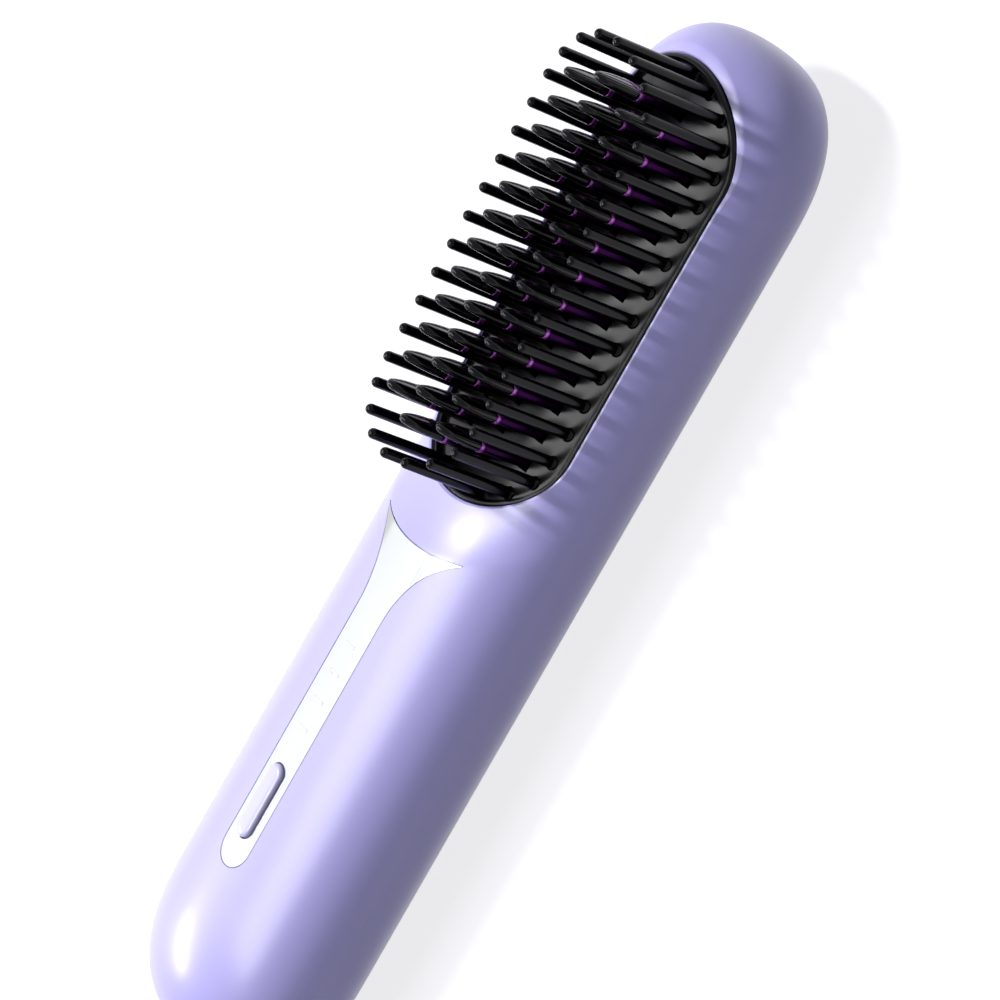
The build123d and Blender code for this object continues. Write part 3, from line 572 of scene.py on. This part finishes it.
SEAM_DEPTH = 0.26
SEAM_PROUD = 0.24        # the cutter stands this far out of the surface
SEAM_HALF = 0.34         # and is this wide there, to each side
SEAM_GAP = 0.02          # housing and cover each end this far from the seam's height


def seam_cutter():
    """Fine V groove where the cover meets the housing."""
    drop = (MID_Z - SPLIT_Z) / HALF_Z
    reach_u = (1 - drop**POWER) ** (1 / POWER)
    reach_x = TAPER_X + TAPER_LENGTH * reach_u
    line = []
    count = 60
    for i in range(count + 1):
        t = math.pi / 2 * i / count
        x = TAPER_X + (reach_x - TAPER_X) * math.sin(t) ** 0.9
        k = float(end_scale(np.array(x)))
        line.append((x, HALF_Y * math.sqrt(max(k * k - drop * drop, 0))))
    straight = [(x, line[0][1]) for x in np.linspace(0, TAPER_X, 12)[:-1]]
    quarter = straight + line
    loop = quarter + [(x, -y) for x, y in reversed(quarter[:-1])]
    loop += [(-x, -y) for x, y in quarter[1:]] + [(-x, y) for x, y in reversed(quarter[1:-1])]
    p = np.array([(x, y, SPLIT_Z) for x, y in loop])
    n = body_normal(p)
    along = np.roll(p, -1, 0) - np.roll(p, 1, 0)
    along /= np.linalg.norm(along, axis=1, keepdims=True)
    up = np.cross(n, along)
    out = p + SEAM_PROUD * n
    rings = [p - SEAM_DEPTH * n, out + SEAM_HALF * up, out - SEAM_HALF * up]
    return outward(make_object("seam", *closed_rings([[tuple(v) for v in r] for r in rings])))


carve(shell, seam_cutter())
cover = shell.copy()
cover.data = shell.data.copy()
cover.name = "cover_shell"
bpy.context.scene.collection.objects.link(cover)
carve(shell, layer(high=SPLIT_Z + SEAM_GAP))
carve(cover, layer(low=SPLIT_Z - SEAM_GAP))


def dish_cutter():
    """Everything above the dished surround."""
    turns = np.linspace(-1.45, 1.45, 73)                 # just short of where it fades out
    shares = np.concatenate([np.linspace(-0.35, 0.88, 20), np.linspace(0.9, 1.1, 17),
                             np.linspace(1.15, DISH_END, 5)])
    low = []
    for share in shares:
        row = []
        for turn in turns:
            r = rim_reach(turn) + share * dish_reach(turn)
            x, y = FIELD_X - RUN - r * math.cos(turn), r * math.sin(turn)
            row.append((x, y, float(surface_top(np.array(x), np.array(y)))))
        low.append(row)
    high = [[(x, y, ABOVE) for x, y, z in row] for row in low]
    return outward(make_object("dish", *grid_solid(low, high)))


carve(shell, dish_cutter())

# the lip round the opening: thin along the sides and the handle end, wide round the head
RIM_POINTS = 260
LIP_LEAD = 6.0           # it starts to grow this far before the opening's round end
LIP_START = FIELD_X + RUN - LIP_LEAD
LIP_GROWTH = RIM_X + LIP_LEAD         # length over which it grows
LIP_WIDTH = 0.55         # along the sides
LIP_WIDER = 2.3          # how much wider it is round the head
LIP_DROP = 0.3           # how far it slopes down along the sides
LIP_DEEPER = 0.75        # how much further round the head
LIP_ROLL = 0.12          # share of its width where the crease turns down
OPENING_FOOT = 10.0      # a height in the hollow, where the opening's cutter ends


def lip_share(x):
    """How far the lip has grown, from 0 along the sides to 1 round the head."""
    return np.clip((x - LIP_START) / LIP_GROWTH, 0, 1) ** 1.3


def lip_width(x):
    return LIP_WIDTH + LIP_WIDER * lip_share(x)


def lip_drop(x):
    return LIP_DROP + LIP_DEEPER * lip_share(x)


rim_x, rim_y, rim_nx, rim_ny = rim_line(RIM_POINTS)
edge_x = rim_x + lip_width(rim_x) * rim_nx
edge_y = rim_y + lip_width(rim_x) * rim_ny
prism = [[(x, y, z) for x, y in zip(edge_x, edge_y)] for z in (OPENING_FOOT, ABOVE)]
carve(shell, outward(make_object("opening", *rings_mesh(prism))))


def lip_rings():
    """The rim of the opening: rolled over at the crease, down its slope, and into the wall."""
    def roll(t):
        return ((t - LIP_ROLL) + math.sqrt((t - LIP_ROLL) ** 2 + 0.006)) / 2

    drop = lip_drop(rim_x)
    rings = []
    for t in (0.0, 0.05, 0.1, 0.15, 0.2, 0.3, 0.45, 0.6, 0.75, 0.86):
        x, y = edge_x * (1 - t) + rim_x * t, edge_y * (1 - t) + rim_y * t
        share = (roll(t) - roll(0)) / (roll(1) - roll(0))
        rings.append((x, y, surface_top(x, y) - drop * share))
    x1, y1, z1 = rings[-1]
    steps = 5
    for i in range(1, steps + 1):
        a = math.pi / 2 * i / steps
        f = math.sin(a)
        rings.append((x1 + (rim_x - x1) * f, y1 + (rim_y - y1) * f,
                      z1 - (0.1 + 0.14 * drop) * f - 0.2 * (1 - math.cos(a))))
    foot = np.full_like(rim_x, FLANGE_Z + 0.05)
    rings.append((rim_x, rim_y, foot))
    rings.append((edge_x, edge_y, foot))
    return [[tuple(v) for v in np.stack(r, 1)] for r in rings]


lip = outward(make_object("opening_lip", *closed_rings(lip_rings())))
shade_by_angle(lip, 40)


# ---------------------------------------------------------------- strip on the handle
STRIP_END = -73.5
STRIP_HALF = 4.25        # half-width of its straight run
STRIP_THICK = 0.8
STRIP_SUNK = 0.03        # it lies this far under the body's surface
STRIP_GAP = 0.2          # between the strip and its bed, all round
BED_DEPTH = 0.84
FLARE_START = -18.7      # here its sides turn outwards
FLARE_RADIUS = 21.7
FLARE_HALF = 13.5        # half-width at the tips of the flare
FLARE_BEND = 2.25        # how far those tips reach beyond its middle


def strip_rows(grow):
    """Rows across the strip, grown all round: middle x, bend of the row and half-width."""
    rows = []
    end_rows, straight_rows, flare_rows = 12, 36, 22
    half = STRIP_HALF + grow
    for i in range(1, end_rows + 1):
        t = math.pi / 2 * i / end_rows
        rows.append((STRIP_END + STRIP_HALF - half * math.cos(t), 0.0, half * math.sin(t)))
    for x in np.linspace(STRIP_END + STRIP_HALF, FLARE_START, straight_rows)[1:]:
        rows.append((x, 0.0, half))
    for i in range(1, flare_rows + 1):
        h = STRIP_HALF + (FLARE_HALF - STRIP_HALF) * (i / flare_rows) ** 1.6
        edge = FLARE_START + math.sqrt(FLARE_RADIUS**2 - (FLARE_RADIUS + STRIP_HALF - h) ** 2)
        bend = FLARE_BEND * (h - STRIP_HALF) / (FLARE_HALF - STRIP_HALF)
        rows.append((edge - bend * (h / FLARE_HALF) ** 2, bend, h + grow))
    if grow:
        x, bend, h = rows[-1]
        rows.append((x + grow, bend, h))
    return rows


def strip_mesh(grow, up, down, across=24):
    """The strip's solid, from up above the body's surface to down under it."""
    surface = []
    for x, bend, h in strip_rows(grow):
        row = []
        for j in range(across + 1):
            y = h * math.sin(math.pi / 2 * (2 * j / across - 1))
            px = x + bend * (y / FLARE_HALF) ** 2
            row.append((px, y, float(body_top(np.array(px), np.array(y)))))
        surface.append(row)
    top = [[(x, y, z + up) for x, y, z in row] for row in surface]
    bottom = [[(x, y, z - down) for x, y, z in row] for row in surface]
    return grid_solid(top, bottom)


bed = strip_mesh(STRIP_GAP, up=1.5, down=BED_DEPTH, across=16)
carve(shell, outward(make_object("bed", *bed)))
strip = outward(make_object("handle_strip", *strip_mesh(0.0, up=-STRIP_SUNK, down=STRIP_THICK)))

BUTTON_X = -59.58
BUTTON_LENGTH = 15.6
BUTTON_WIDTH = 4.4
BUTTON_GAP = 0.5         # what its slot has more, in length and width
LIGHTS_X = [-25.77, -31.76, -37.76, -43.76]
BAR_LENGTH = 3.2         # of a light bar, across the handle
BAR_WIDTH = 0.6
WALL_CUT = (29.0, 36.0)  # heights between which their cutter goes through the housing


def stadium(cx, length, width, count=56):
    """Points round a slot with round ends that lies along X."""
    r = width / 2
    half = length / 2 - r
    points = []
    for i in range(count):
        a = 2 * math.pi * (i + 0.5) / count
        points.append((cx + math.copysign(half, math.cos(a)) + r * math.cos(a), r * math.sin(a)))
    return points


def bar_outline(cx, length, width):
    """Points round a light bar, which lies across the handle."""
    return [(cx + across, along) for along, across in stadium(0, length, width, 20)]


def rectangle(x0, x1, y0, y1):
    return [(x0, y0), (x1, y0), (x1, y1), (x0, y1)]


def prism_mesh(outline, low, high):
    return rings_mesh([[(x, y, z) for x, y in outline] for z in (low, high)])


def slots():
    """Cutter for the button and the light bars."""
    outlines = [stadium(BUTTON_X, BUTTON_LENGTH + BUTTON_GAP, BUTTON_WIDTH + BUTTON_GAP)]
    outlines += [bar_outline(x, BAR_LENGTH + 0.04, BAR_WIDTH + 0.02) for x in LIGHTS_X]
    prisms = [prism_mesh(outline, *WALL_CUT) for outline in outlines]
    return outward(make_object("slots", *join_parts(prisms)))


carve(shell, slots())
soften(strip, 0.1, 2, 40)
carve(strip, slots())


# ---------------------------------------------------------------- charging port
PORT_HALF_Y = 4.47
PORT_HALF_Z = 1.63
PORT_RADIUS = 1.5
PORT_GAP = 0.14          # round the port's shell, in the housing
# (x, growth of the port's outline) pairs
PORT_HOLE = [(-112, PORT_GAP), (-100.2, PORT_GAP)]
PORT_TUBE = [(-107.3, -0.3), (-107.4, -0.22), (-107.4, -0.08), (-107.3, 0.0), (-100.1, 0.0),
             (-100.1, -0.3)]
PORT_END = [(-101.3, -0.3), (-100.1, -0.3)]


def port_outline(grow, count=48):
    """Points round the port's shell, grown by grow."""
    points = []
    r = PORT_RADIUS + grow
    flat_y, flat_z = PORT_HALF_Y + grow - r, PORT_HALF_Z + grow - r
    for i in range(count):
        a = 2 * math.pi * (i + 0.5) / count
        c, s = math.cos(a), math.sin(a)
        points.append((math.copysign(flat_y, c) + r * c, math.copysign(flat_z, s) + r * s))
    return points


def port_rings(spec):
    """Rings for a tube along X, through (x, growth) pairs."""
    return [[(x, y, MID_Z + z) for y, z in port_outline(grow)] for x, grow in spec]


carve(shell, outward(make_object("port_hole", *rings_mesh(port_rings(PORT_HOLE)))))
port = outward(make_object("port_tube", *closed_rings(port_rings(PORT_TUBE))))
merge_objects(port, outward(make_object("port_back", *rings_mesh(port_rings(PORT_END)))))
shade_by_angle(port, 40)
dress(port, "screw_steel", "brush", "usb_shell", material="port_steel")

true_normals(shell)
dress(shell, "lilac_shell", "brush", "main_housing")
dress(lip, "lilac_shell", "brush")


# ---------------------------------------------------------------- cover and screws
SCREWS_X = [-88.0, 2.0, 78.0]
WELL = [(2.75, -1.0), (2.62, 0.0), (2.36, 0.26), (2.36, 2.5)]        # (radius, height) pairs
BOSS = [(3.2, 2.0), (3.2, 5.6)]
SCREW_HEAD = [(0.4, 1.2), (1.7, 1.22), (2.0, 1.34), (2.16, 1.6), (2.18, 2.48)]
SCREW_SHAFT = [(1.1, 2.5), (1.1, 10.6), (0.4, 11.5)]
RECESS_REACH = 1.2       # of each arm of the cross, from its middle
RECESS_HALF = 0.24
RECESS_CUT = (0.6, 2.0)  # heights between which the cross is cut


def circle(cx, cy, r, count=40):
    return [(cx + r * math.cos(2 * math.pi * i / count), cy + r * math.sin(2 * math.pi * i / count))
            for i in range(count)]


def lathe(cx, cy, profile, count=40):
    """Turned shape through (radius, z) pairs, closed at both ends."""
    return rings_mesh([[(x, y, z) for x, y in circle(cx, cy, r, count)] for r, z in profile])


def at_screws(name, profile):
    """The same turned shape at each screw."""
    return outward(make_object(name, *join_parts([lathe(x, 0, profile) for x in SCREWS_X])))


def recess(cx, angle):
    """Cutter for one arm of a screw's cross."""
    c, s = math.cos(math.radians(angle)), math.sin(math.radians(angle))
    arm = rectangle(-RECESS_REACH, RECESS_REACH, -RECESS_HALF, RECESS_HALF)
    return prism_mesh([(cx + x * c - y * s, x * s + y * c) for x, y in arm], *RECESS_CUT)


wells = at_screws("wells", WELL)
carve(cover, at_screws("bosses", BOSS), "UNION")
carve(cover, wells)
true_normals(cover)
dress(cover, "lilac_shell", "brush", "rear_cover")

turned = []
for x in SCREWS_X:
    turned += [lathe(x, 0, SCREW_HEAD), lathe(x, 0, SCREW_SHAFT, 20)]
screws = outward(make_object("back_screws", *join_parts(turned)))
for angle in (45, 135):
    carve(screws, outward(make_object("cross", *join_parts([recess(x, angle) for x in SCREWS_X]))))
shade_by_angle(screws, 35)
dress(screws, "screw_steel", "brush", "cover_screws")


# ---------------------------------------------------------------- bristle plate and ring
PITCH = 6.0              # along the field, of pins and blades alike
PIN_ROWS = 11
PIN_HALF = 16.0          # from the middle to the side rows
PIN_END = 13.2           # reach of the arcs of pins beyond the side rows
PIN_ENDS = 7             # pins on each arc
PIN_HEIGHT = 20.2
PIN_DOME = 19.1          # height where its domed tip starts
PIN_DOME_RISE = 1.08
# (radius, height) pairs of a pin, with a flared root
PIN_STEM = [(1.5, -0.3), (1.4, 0.0), (1.24, 0.1), (1.15, 0.3), (1.13, 1.0), (1.1, 8.0),
            (1.05, 17.0), (1.04, 18.6)]
COLUMNS = [(-9.1, 12), (0.0, 13), (9.1, 12)]             # place and number of blades
SLOT_HALF_X = 1.34       # of the blades' slots in the plate
SLOT_HALF_Y = 3.5
PLATE_CUT = (23.0, 32.0)  # heights between which they are cut


def pin_places():
    """Two straight rows of pins, then an arc at each end."""
    run = PITCH * (PIN_ROWS - 1) / 2
    places = [(FIELD_X - run + row * PITCH, side * PIN_HALF)
              for row in range(PIN_ROWS) for side in (-1, 1)]
    for end in (-1, 1):
        for step in range(1, PIN_ENDS + 1):
            turn = math.pi * step / (PIN_ENDS + 1)
            places.append((FIELD_X + end * (run + PIN_END * math.sin(turn)),
                           PIN_HALF * math.cos(turn)))
    return places


def blade_places():
    return [(FIELD_X + (row - (count - 1) / 2) * PITCH, y)
            for y, count in COLUMNS for row in range(count)]


def pin_mesh(cx, cy):
    """A round pin with a flared root and a domed tip."""
    radius = PIN_STEM[-1][0]
    profile = list(PIN_STEM)
    dome_steps = 9
    for i in range(dome_steps):
        a = math.pi / 2 * i / dome_steps
        profile.append((radius * math.cos(a) ** 0.8, PIN_DOME + PIN_DOME_RISE * math.sin(a)))
    profile.append((0.06, PIN_HEIGHT - 0.01))
    root = float(plate_top(cy))
    return lathe(cx, cy, [(r, root + h) for r, h in profile], 22)


def plate_mesh(count=200):
    """The crowned plate with a rounded edge, as rings drawn in towards the middle line."""
    px, py, nx, ny = rim_line(count, PLATE_INSET)
    edge = 0.5           # radius of its rounded edge
    rings = [(px, py, np.full_like(px, PLATE_FOOT)), (px, py, plate_top(py) - 0.7)]
    for a in np.linspace(0, math.pi / 2, 5):
        draw = edge * (1 - math.cos(a))
        x, y = px - draw * nx, py - draw * ny
        rings.append((x, y, plate_top(y) - edge * (1 - math.sin(a))))
    middle = np.clip(px, FIELD_X - RUN, FIELD_X + RUN)
    for inset in (2.4, 3.6, 5.2, 7.0, 9.0, 11.0, 13.0, 15.0, 16.6):
        share = (inset - PLATE_INSET) / (RIM_Y - PLATE_INSET)
        x, y = px * (1 - share) + middle * share, py * (1 - share)
        rings.append((x, y, plate_top(y)))
    verts, faces = rings_mesh([[tuple(v) for v in np.stack(r, 1)] for r in rings], True, False)
    # close the middle with quads between the two sides of the last ring
    last = (len(rings) - 1) * count
    start = int(np.argmax(px))
    ring = [last + (start + i) % count for i in range(count)]
    for i in range(count // 2):
        corners = (ring[i], ring[i + 1], ring[(count - i - 1) % count], ring[(count - i) % count])
        corners = tuple(dict.fromkeys(corners))          # the first and the last are triangles
        if len(corners) > 2:
            faces.append(corners)
    return verts, faces


plate = outward(make_object("bristle_bed", *plate_mesh()))
blade_slots = [rectangle(x - SLOT_HALF_X, x + SLOT_HALF_X, y - SLOT_HALF_Y, y + SLOT_HALF_Y)
               for x, y in blade_places()]
blade_slots = [prism_mesh(outline, *PLATE_CUT) for outline in blade_slots]
carve(plate, outward(make_object("blade_slots", *join_parts(blade_slots))))
pins = outward(make_object("pins", *join_parts([pin_mesh(x, y) for x, y in pin_places()])))
merge_objects(plate, pins)
shade_by_angle(plate, 38)
dress(plate, "black_gloss", "brush", "bristle_plate")

# (inset from the rim, drop from the ring's top), with None at its foot
RING_PROFILE = [(1.1, None), (1.1, -0.5), (1.06, -0.22), (0.95, -0.06), (0.78, 0.0), (0.45, 0.0),
                (0.27, -0.06), (0.15, -0.22), (0.1, -0.5), (0.1, None)]


def ring_mesh(count=240):
    """The black ring between the opening's rim and the plate."""
    px, py, nx, ny = rim_line(count)
    rings = []
    for inset, drop in RING_PROFILE:
        x, y = px - inset * nx, py - inset * ny
        z = np.full_like(x, RING_FOOT) if drop is None else ring_top(x, y) + drop
        rings.append([tuple(v) for v in np.stack((x, y, z), 1)])
    return closed_rings(rings)


ring = outward(make_object("plate_ring", *ring_mesh()))
shade_by_angle(ring, 50)
dress(ring, "black_ring", "brush", "seal_ring")


# ---------------------------------------------------------------- blades and caps
METAL = 11.5             # height of the metal over the plate's crown
TIP = 20.0               # height of the caps' ridge
RIDGE = 1.0              # depth of the rounding along that ridge
CAP_FOOT = 0.16          # rounding where a cap starts
CAP_HALF_X = 1.27
CAP_HALF_Y = 3.57
# (height, half-thickness, half-width): the blade's over the plate, the band's over the metal
BLADE = [(-5.0, 1.1, 3.0), (0.0, 1.12, 3.02), (4.0, 1.13, 3.2), (8.0, 1.14, 3.34),
         (11.2, 1.15, 3.44), (METAL, 1.12, 3.4)]
BAND = [(-1.3, 1.1, 3.35), (-1.2, 1.2, 3.5), (-0.12, 1.26, 3.56), (-0.02, 1.2, 3.5)]
SLAB = [(16, -9.5), (20, -13.5), (88, -13.5), (92, -9.5),
        (92, 9.5), (88, 13.5), (20, 13.5), (16, 9.5)]    # outline of the comb's base
SLAB_Z = (21.4, 23.4)    # its lower and upper face


def loft_section(cx, cy, z, half_x, half_y, power, count=28):
    """Points of a rounded rectangle. The power says how square it is."""
    points = []
    for i in range(count):
        a = 2 * math.pi * (i + 0.5) / count
        c, s = math.cos(a), math.sin(a)
        points.append((cx + half_x * math.copysign(abs(c) ** (2 / power), c),
                       cy + half_y * math.copysign(abs(s) ** (2 / power), s), z))
    return points


def blade_mesh(cx, cy):
    """A metal blade, from inside the plate up to its cap."""
    root = float(plate_top(cy))
    return rings_mesh([loft_section(cx, cy, root + h, a, b, 4.5) for h, a, b in BLADE])


def cap_mesh(cx, cy):
    """Arched black tip: broad across the comb, thin along it, with a rounded ridge."""
    foot = float(plate_top(cy)) + METAL
    rings = [loft_section(cx, cy, foot, 1.14, 3.44, 3.4),
             loft_section(cx, cy, foot + 0.02, 1.22, 3.52, 3.2),
             loft_section(cx, cy, foot + CAP_FOOT, CAP_HALF_X, CAP_HALF_Y, 3.0)]
    rise = TIP - METAL - CAP_FOOT - 0.02
    for i in range(1, 19):
        turn = math.pi / 2 * i / 18.3                    # it stops just short of the top
        share = math.sin(turn) ** 0.92
        over = max(0.0, 1 - (1 - share) * rise / RIDGE)
        half_x = CAP_HALF_X * (1 - 0.4 * share**2.5) * math.sqrt(1 - over**2 * 0.985)
        half_y = CAP_HALF_Y * math.cos(turn) ** 1.06
        rings.append(loft_section(cx, cy, foot + CAP_FOOT + share * rise, half_x, half_y,
                                  3.0 - 0.9 * share))
    return rings_mesh(rings)


def band_mesh(cx, cy):
    """Band of the metal all round under the cap. Its lighter pink colour is a painted highlight."""
    top = float(plate_top(cy)) + METAL
    return rings_mesh([loft_section(cx, cy, top + h, a, b, 4.0) for h, a, b in BAND])


def at_blades(name, make):
    """The same piece at every blade, as one object."""
    return outward(make_object(name, *join_parts([make(x, y) for x, y in blade_places()])))


blades = at_blades("comb_blades", blade_mesh)
merge_objects(blades, outward(make_object("comb_slab", *prism_mesh(SLAB, *SLAB_Z))))
shade_by_angle(blades, 40)
dress(blades, "violet_metal", "brush", "heating_comb")
# the band under each cap is real, but its lighter colour is a painted highlight
edges = at_blades("comb_edge_highlight", band_mesh)
shade_by_angle(edges, 60)
dress(edges, "violet_metal", "brush", material="violet_edge_highlight")
caps = at_blades("comb_caps", cap_mesh)
shade_by_angle(caps, 50)
dress(caps, "black_cap", "brush", "blade_caps")

true_normals(strip)
dress(strip, "silver_strip", "brush", "decorative_strip")


# ---------------------------------------------------------------- button and light bars
BUTTON = [(0.0, 30.95), (0.0, 33.1), (0.06, 33.35), (0.2, 33.56), (0.42, 33.72), (0.75, 33.82),
          (1.2, 33.87), (1.7, 33.885), (2.1, 33.89)]     # (inset, height) pairs
BUTTON_FLANGE_X = 8.8    # half-sizes of the flange inside
BUTTON_FLANGE_Y = 3.2
BUTTON_FLANGE_Z = (30.0, 30.9)
BAR = [(0.0, 30.2), (0.0, 32.86), (0.05, 32.93), (0.14, 32.95)]
GUIDE_MARGIN = 1.2       # the guide's base goes this far beyond the outer bars
GUIDE_HALF_Y = 2.8
GUIDE_Z = (30.2, 30.96)


def button_mesh():
    return rings_mesh([[(x, y, z) for x, y in stadium(BUTTON_X, BUTTON_LENGTH - 2 * inset,
                                                      BUTTON_WIDTH - 2 * inset, 64)]
                       for inset, z in BUTTON])


def bar_mesh(cx):
    return rings_mesh([[(x, y, z) for x, y in bar_outline(cx, BAR_LENGTH - 2 * inset,
                                                          BAR_WIDTH - 2 * inset)]
                       for inset, z in BAR])


button = outward(make_object("button_cap", *button_mesh()))
button_base = rectangle(BUTTON_X - BUTTON_FLANGE_X, BUTTON_X + BUTTON_FLANGE_X,
                        -BUTTON_FLANGE_Y, BUTTON_FLANGE_Y)
flange = prism_mesh(button_base, *BUTTON_FLANGE_Z)
merge_objects(button, outward(make_object("button_flange", *flange)))
shade_by_angle(button, 45)
dress(button, "lilac_button", "button", "power_button")

guide_base = rectangle(min(LIGHTS_X) - GUIDE_MARGIN, max(LIGHTS_X) + GUIDE_MARGIN,
                       -GUIDE_HALF_Y, GUIDE_HALF_Y)
guide = [bar_mesh(x) for x in LIGHTS_X] + [prism_mesh(guide_base, *GUIDE_Z)]
lights = outward(make_object("light_bars", *join_parts(guide)))
shade_by_angle(lights, 40)
dress(lights, "clear_guide", "brush", "light_guide")


# ---------------------------------------------------------------- floor, world, lights, camera
def seen_directly(tree):
    """1 for what the camera, a reflection or glass shows, 0 for the light that falls on things."""
    path = tree.nodes.new("ShaderNodeLightPath")
    total = path.outputs["Is Camera Ray"]
    for ray in ("Is Glossy Ray", "Is Transmission Ray"):
        either = tree.nodes.new("ShaderNodeMath")
        either.operation = "MAXIMUM"
        tree.links.new(total, either.inputs[0])
        tree.links.new(path.outputs[ray], either.inputs[1])
        total = either.outputs[0]
    return total


FLOOR_COLOUR = (0.27, 0.27, 0.31, 1)
FLOOR_GLOW = 0.8
# (reach, height) pairs
FLOOR_RINGS = [(3200, -0.02), (3600, 40), (3850, 160), (4000, 400), (4050, 1300)]
SKY_COLOUR = (0.78, 0.83, 1.0, 1)
SKY_LIGHT = 0.11         # strength of the sky's own light
SKY_SEEN = 0.45          # strength that the eye and reflections see


def pale_floor():
    """Grey to the light that falls on it, white to the eye, with the object's shadow kept."""
    tree, shader = tree_of("pale_floor")
    shader.inputs["Base Color"].default_value = FLOOR_COLOUR
    shader.inputs["Roughness"].default_value = 0.9
    shader.inputs["Specular IOR Level"].default_value = 0.0
    shader.inputs["Emission Color"].default_value = (1, 1, 1, 1)
    glow = tree.nodes.new("ShaderNodeMath")
    glow.operation = "MULTIPLY"
    glow.inputs[1].default_value = FLOOR_GLOW
    tree.links.new(seen_directly(tree), glow.inputs[0])
    tree.links.new(glow.outputs[0], shader.inputs["Emission Strength"])


def floor_mesh():
    """A wide floor that turns up into a low wall all round."""
    rings = []
    for reach, z in FLOOR_RINGS:
        rings.append([(x, y, z) for x, y in circle(0, 0, reach, 64)])
    return rings_mesh(rings, True, False)


pale_floor()
floor = make_object("floor", *floor_mesh())
floor.data.materials.append(materials["pale_floor"])

world = bpy.data.worlds.new("studio")
bpy.context.scene.world = world
world.use_nodes = True
sky = world.node_tree.nodes["Background"]
sky.inputs["Color"].default_value = SKY_COLOUR
sky_level = world.node_tree.nodes.new("ShaderNodeMath")
sky_level.operation = "MULTIPLY_ADD"
sky_level.inputs[1].default_value = SKY_SEEN - SKY_LIGHT
sky_level.inputs[2].default_value = SKY_LIGHT
world.node_tree.links.new(seen_directly(world.node_tree), sky_level.inputs[0])
world.node_tree.links.new(sky_level.outputs[0], sky.inputs["Strength"])

LIT_POINT = Vector((0.03, 0, 0.03))      # in metres, what the lamps point at
KEY_SIDE = (0, 0.46, 0.89)               # direction of the key lamp


def lamp(name, direction, distance, size_x, size_y, level):
    """A soft box in a direction, in metres, of a brightness given as its share of white."""
    data = bpy.data.lights.new(name, "AREA")
    data.shape = "RECTANGLE"
    data.size, data.size_y = size_x, size_y
    data.energy = level * math.pi * size_x * size_y
    obj = bpy.data.objects.new(name, data)
    bpy.context.scene.collection.objects.link(obj)
    obj.location = LIT_POINT + Vector(direction).normalized() * distance
    obj.rotation_euler = (LIT_POINT - obj.location).to_track_quat("-Z", "Y").to_euler()
    obj.visible_camera = False
    return obj


key = lamp("key", KEY_SIDE, 1.5, 0.09, 0.42, 88)
key.visible_glossy = False               # reflections show the weaker glint in its place
lamp("glint", KEY_SIDE, 1.5, 0.09, 0.42, 46)
lamp("overhead", (-0.225, 0.15, 0.96), 1.2, 1.05, 0.32, 7.2)
lamp("side_soft", (-0.52, 0.68, 0.5), 1.1, 0.3, 0.1, 30)
lamp("handle_soft", (-0.19, 0.77, 0.6), 1.3, 0.8, 0.95, 0.9)

# the camera's place, in metres, and its axes, solved from the rows of pins and the body's outline
CAMERA_PLACE = Vector((0.288, -1.098, 0.9612))
CAMERA_RIGHT = Vector((0.4871, -0.4945, -0.7198))
CAMERA_UP = Vector((0.8527, 0.4474, 0.2697))
CAMERA_BACK = Vector((0.1887, -0.7452, 0.6396))

camera_data = bpy.data.cameras.new("camera")
camera_data.lens = 288.0
camera_data.sensor_width = 36.0
camera_data.clip_start, camera_data.clip_end = 0.1, 20.0
camera = bpy.data.objects.new("camera", camera_data)
bpy.context.scene.collection.objects.link(camera)
axes = Matrix((CAMERA_RIGHT, CAMERA_UP, CAMERA_BACK)).transposed()
camera.matrix_world = Matrix.Translation(CAMERA_PLACE) @ axes.to_4x4()
bpy.context.scene.camera = camera
bpy.context.scene.view_settings.view_transform = "Standard"
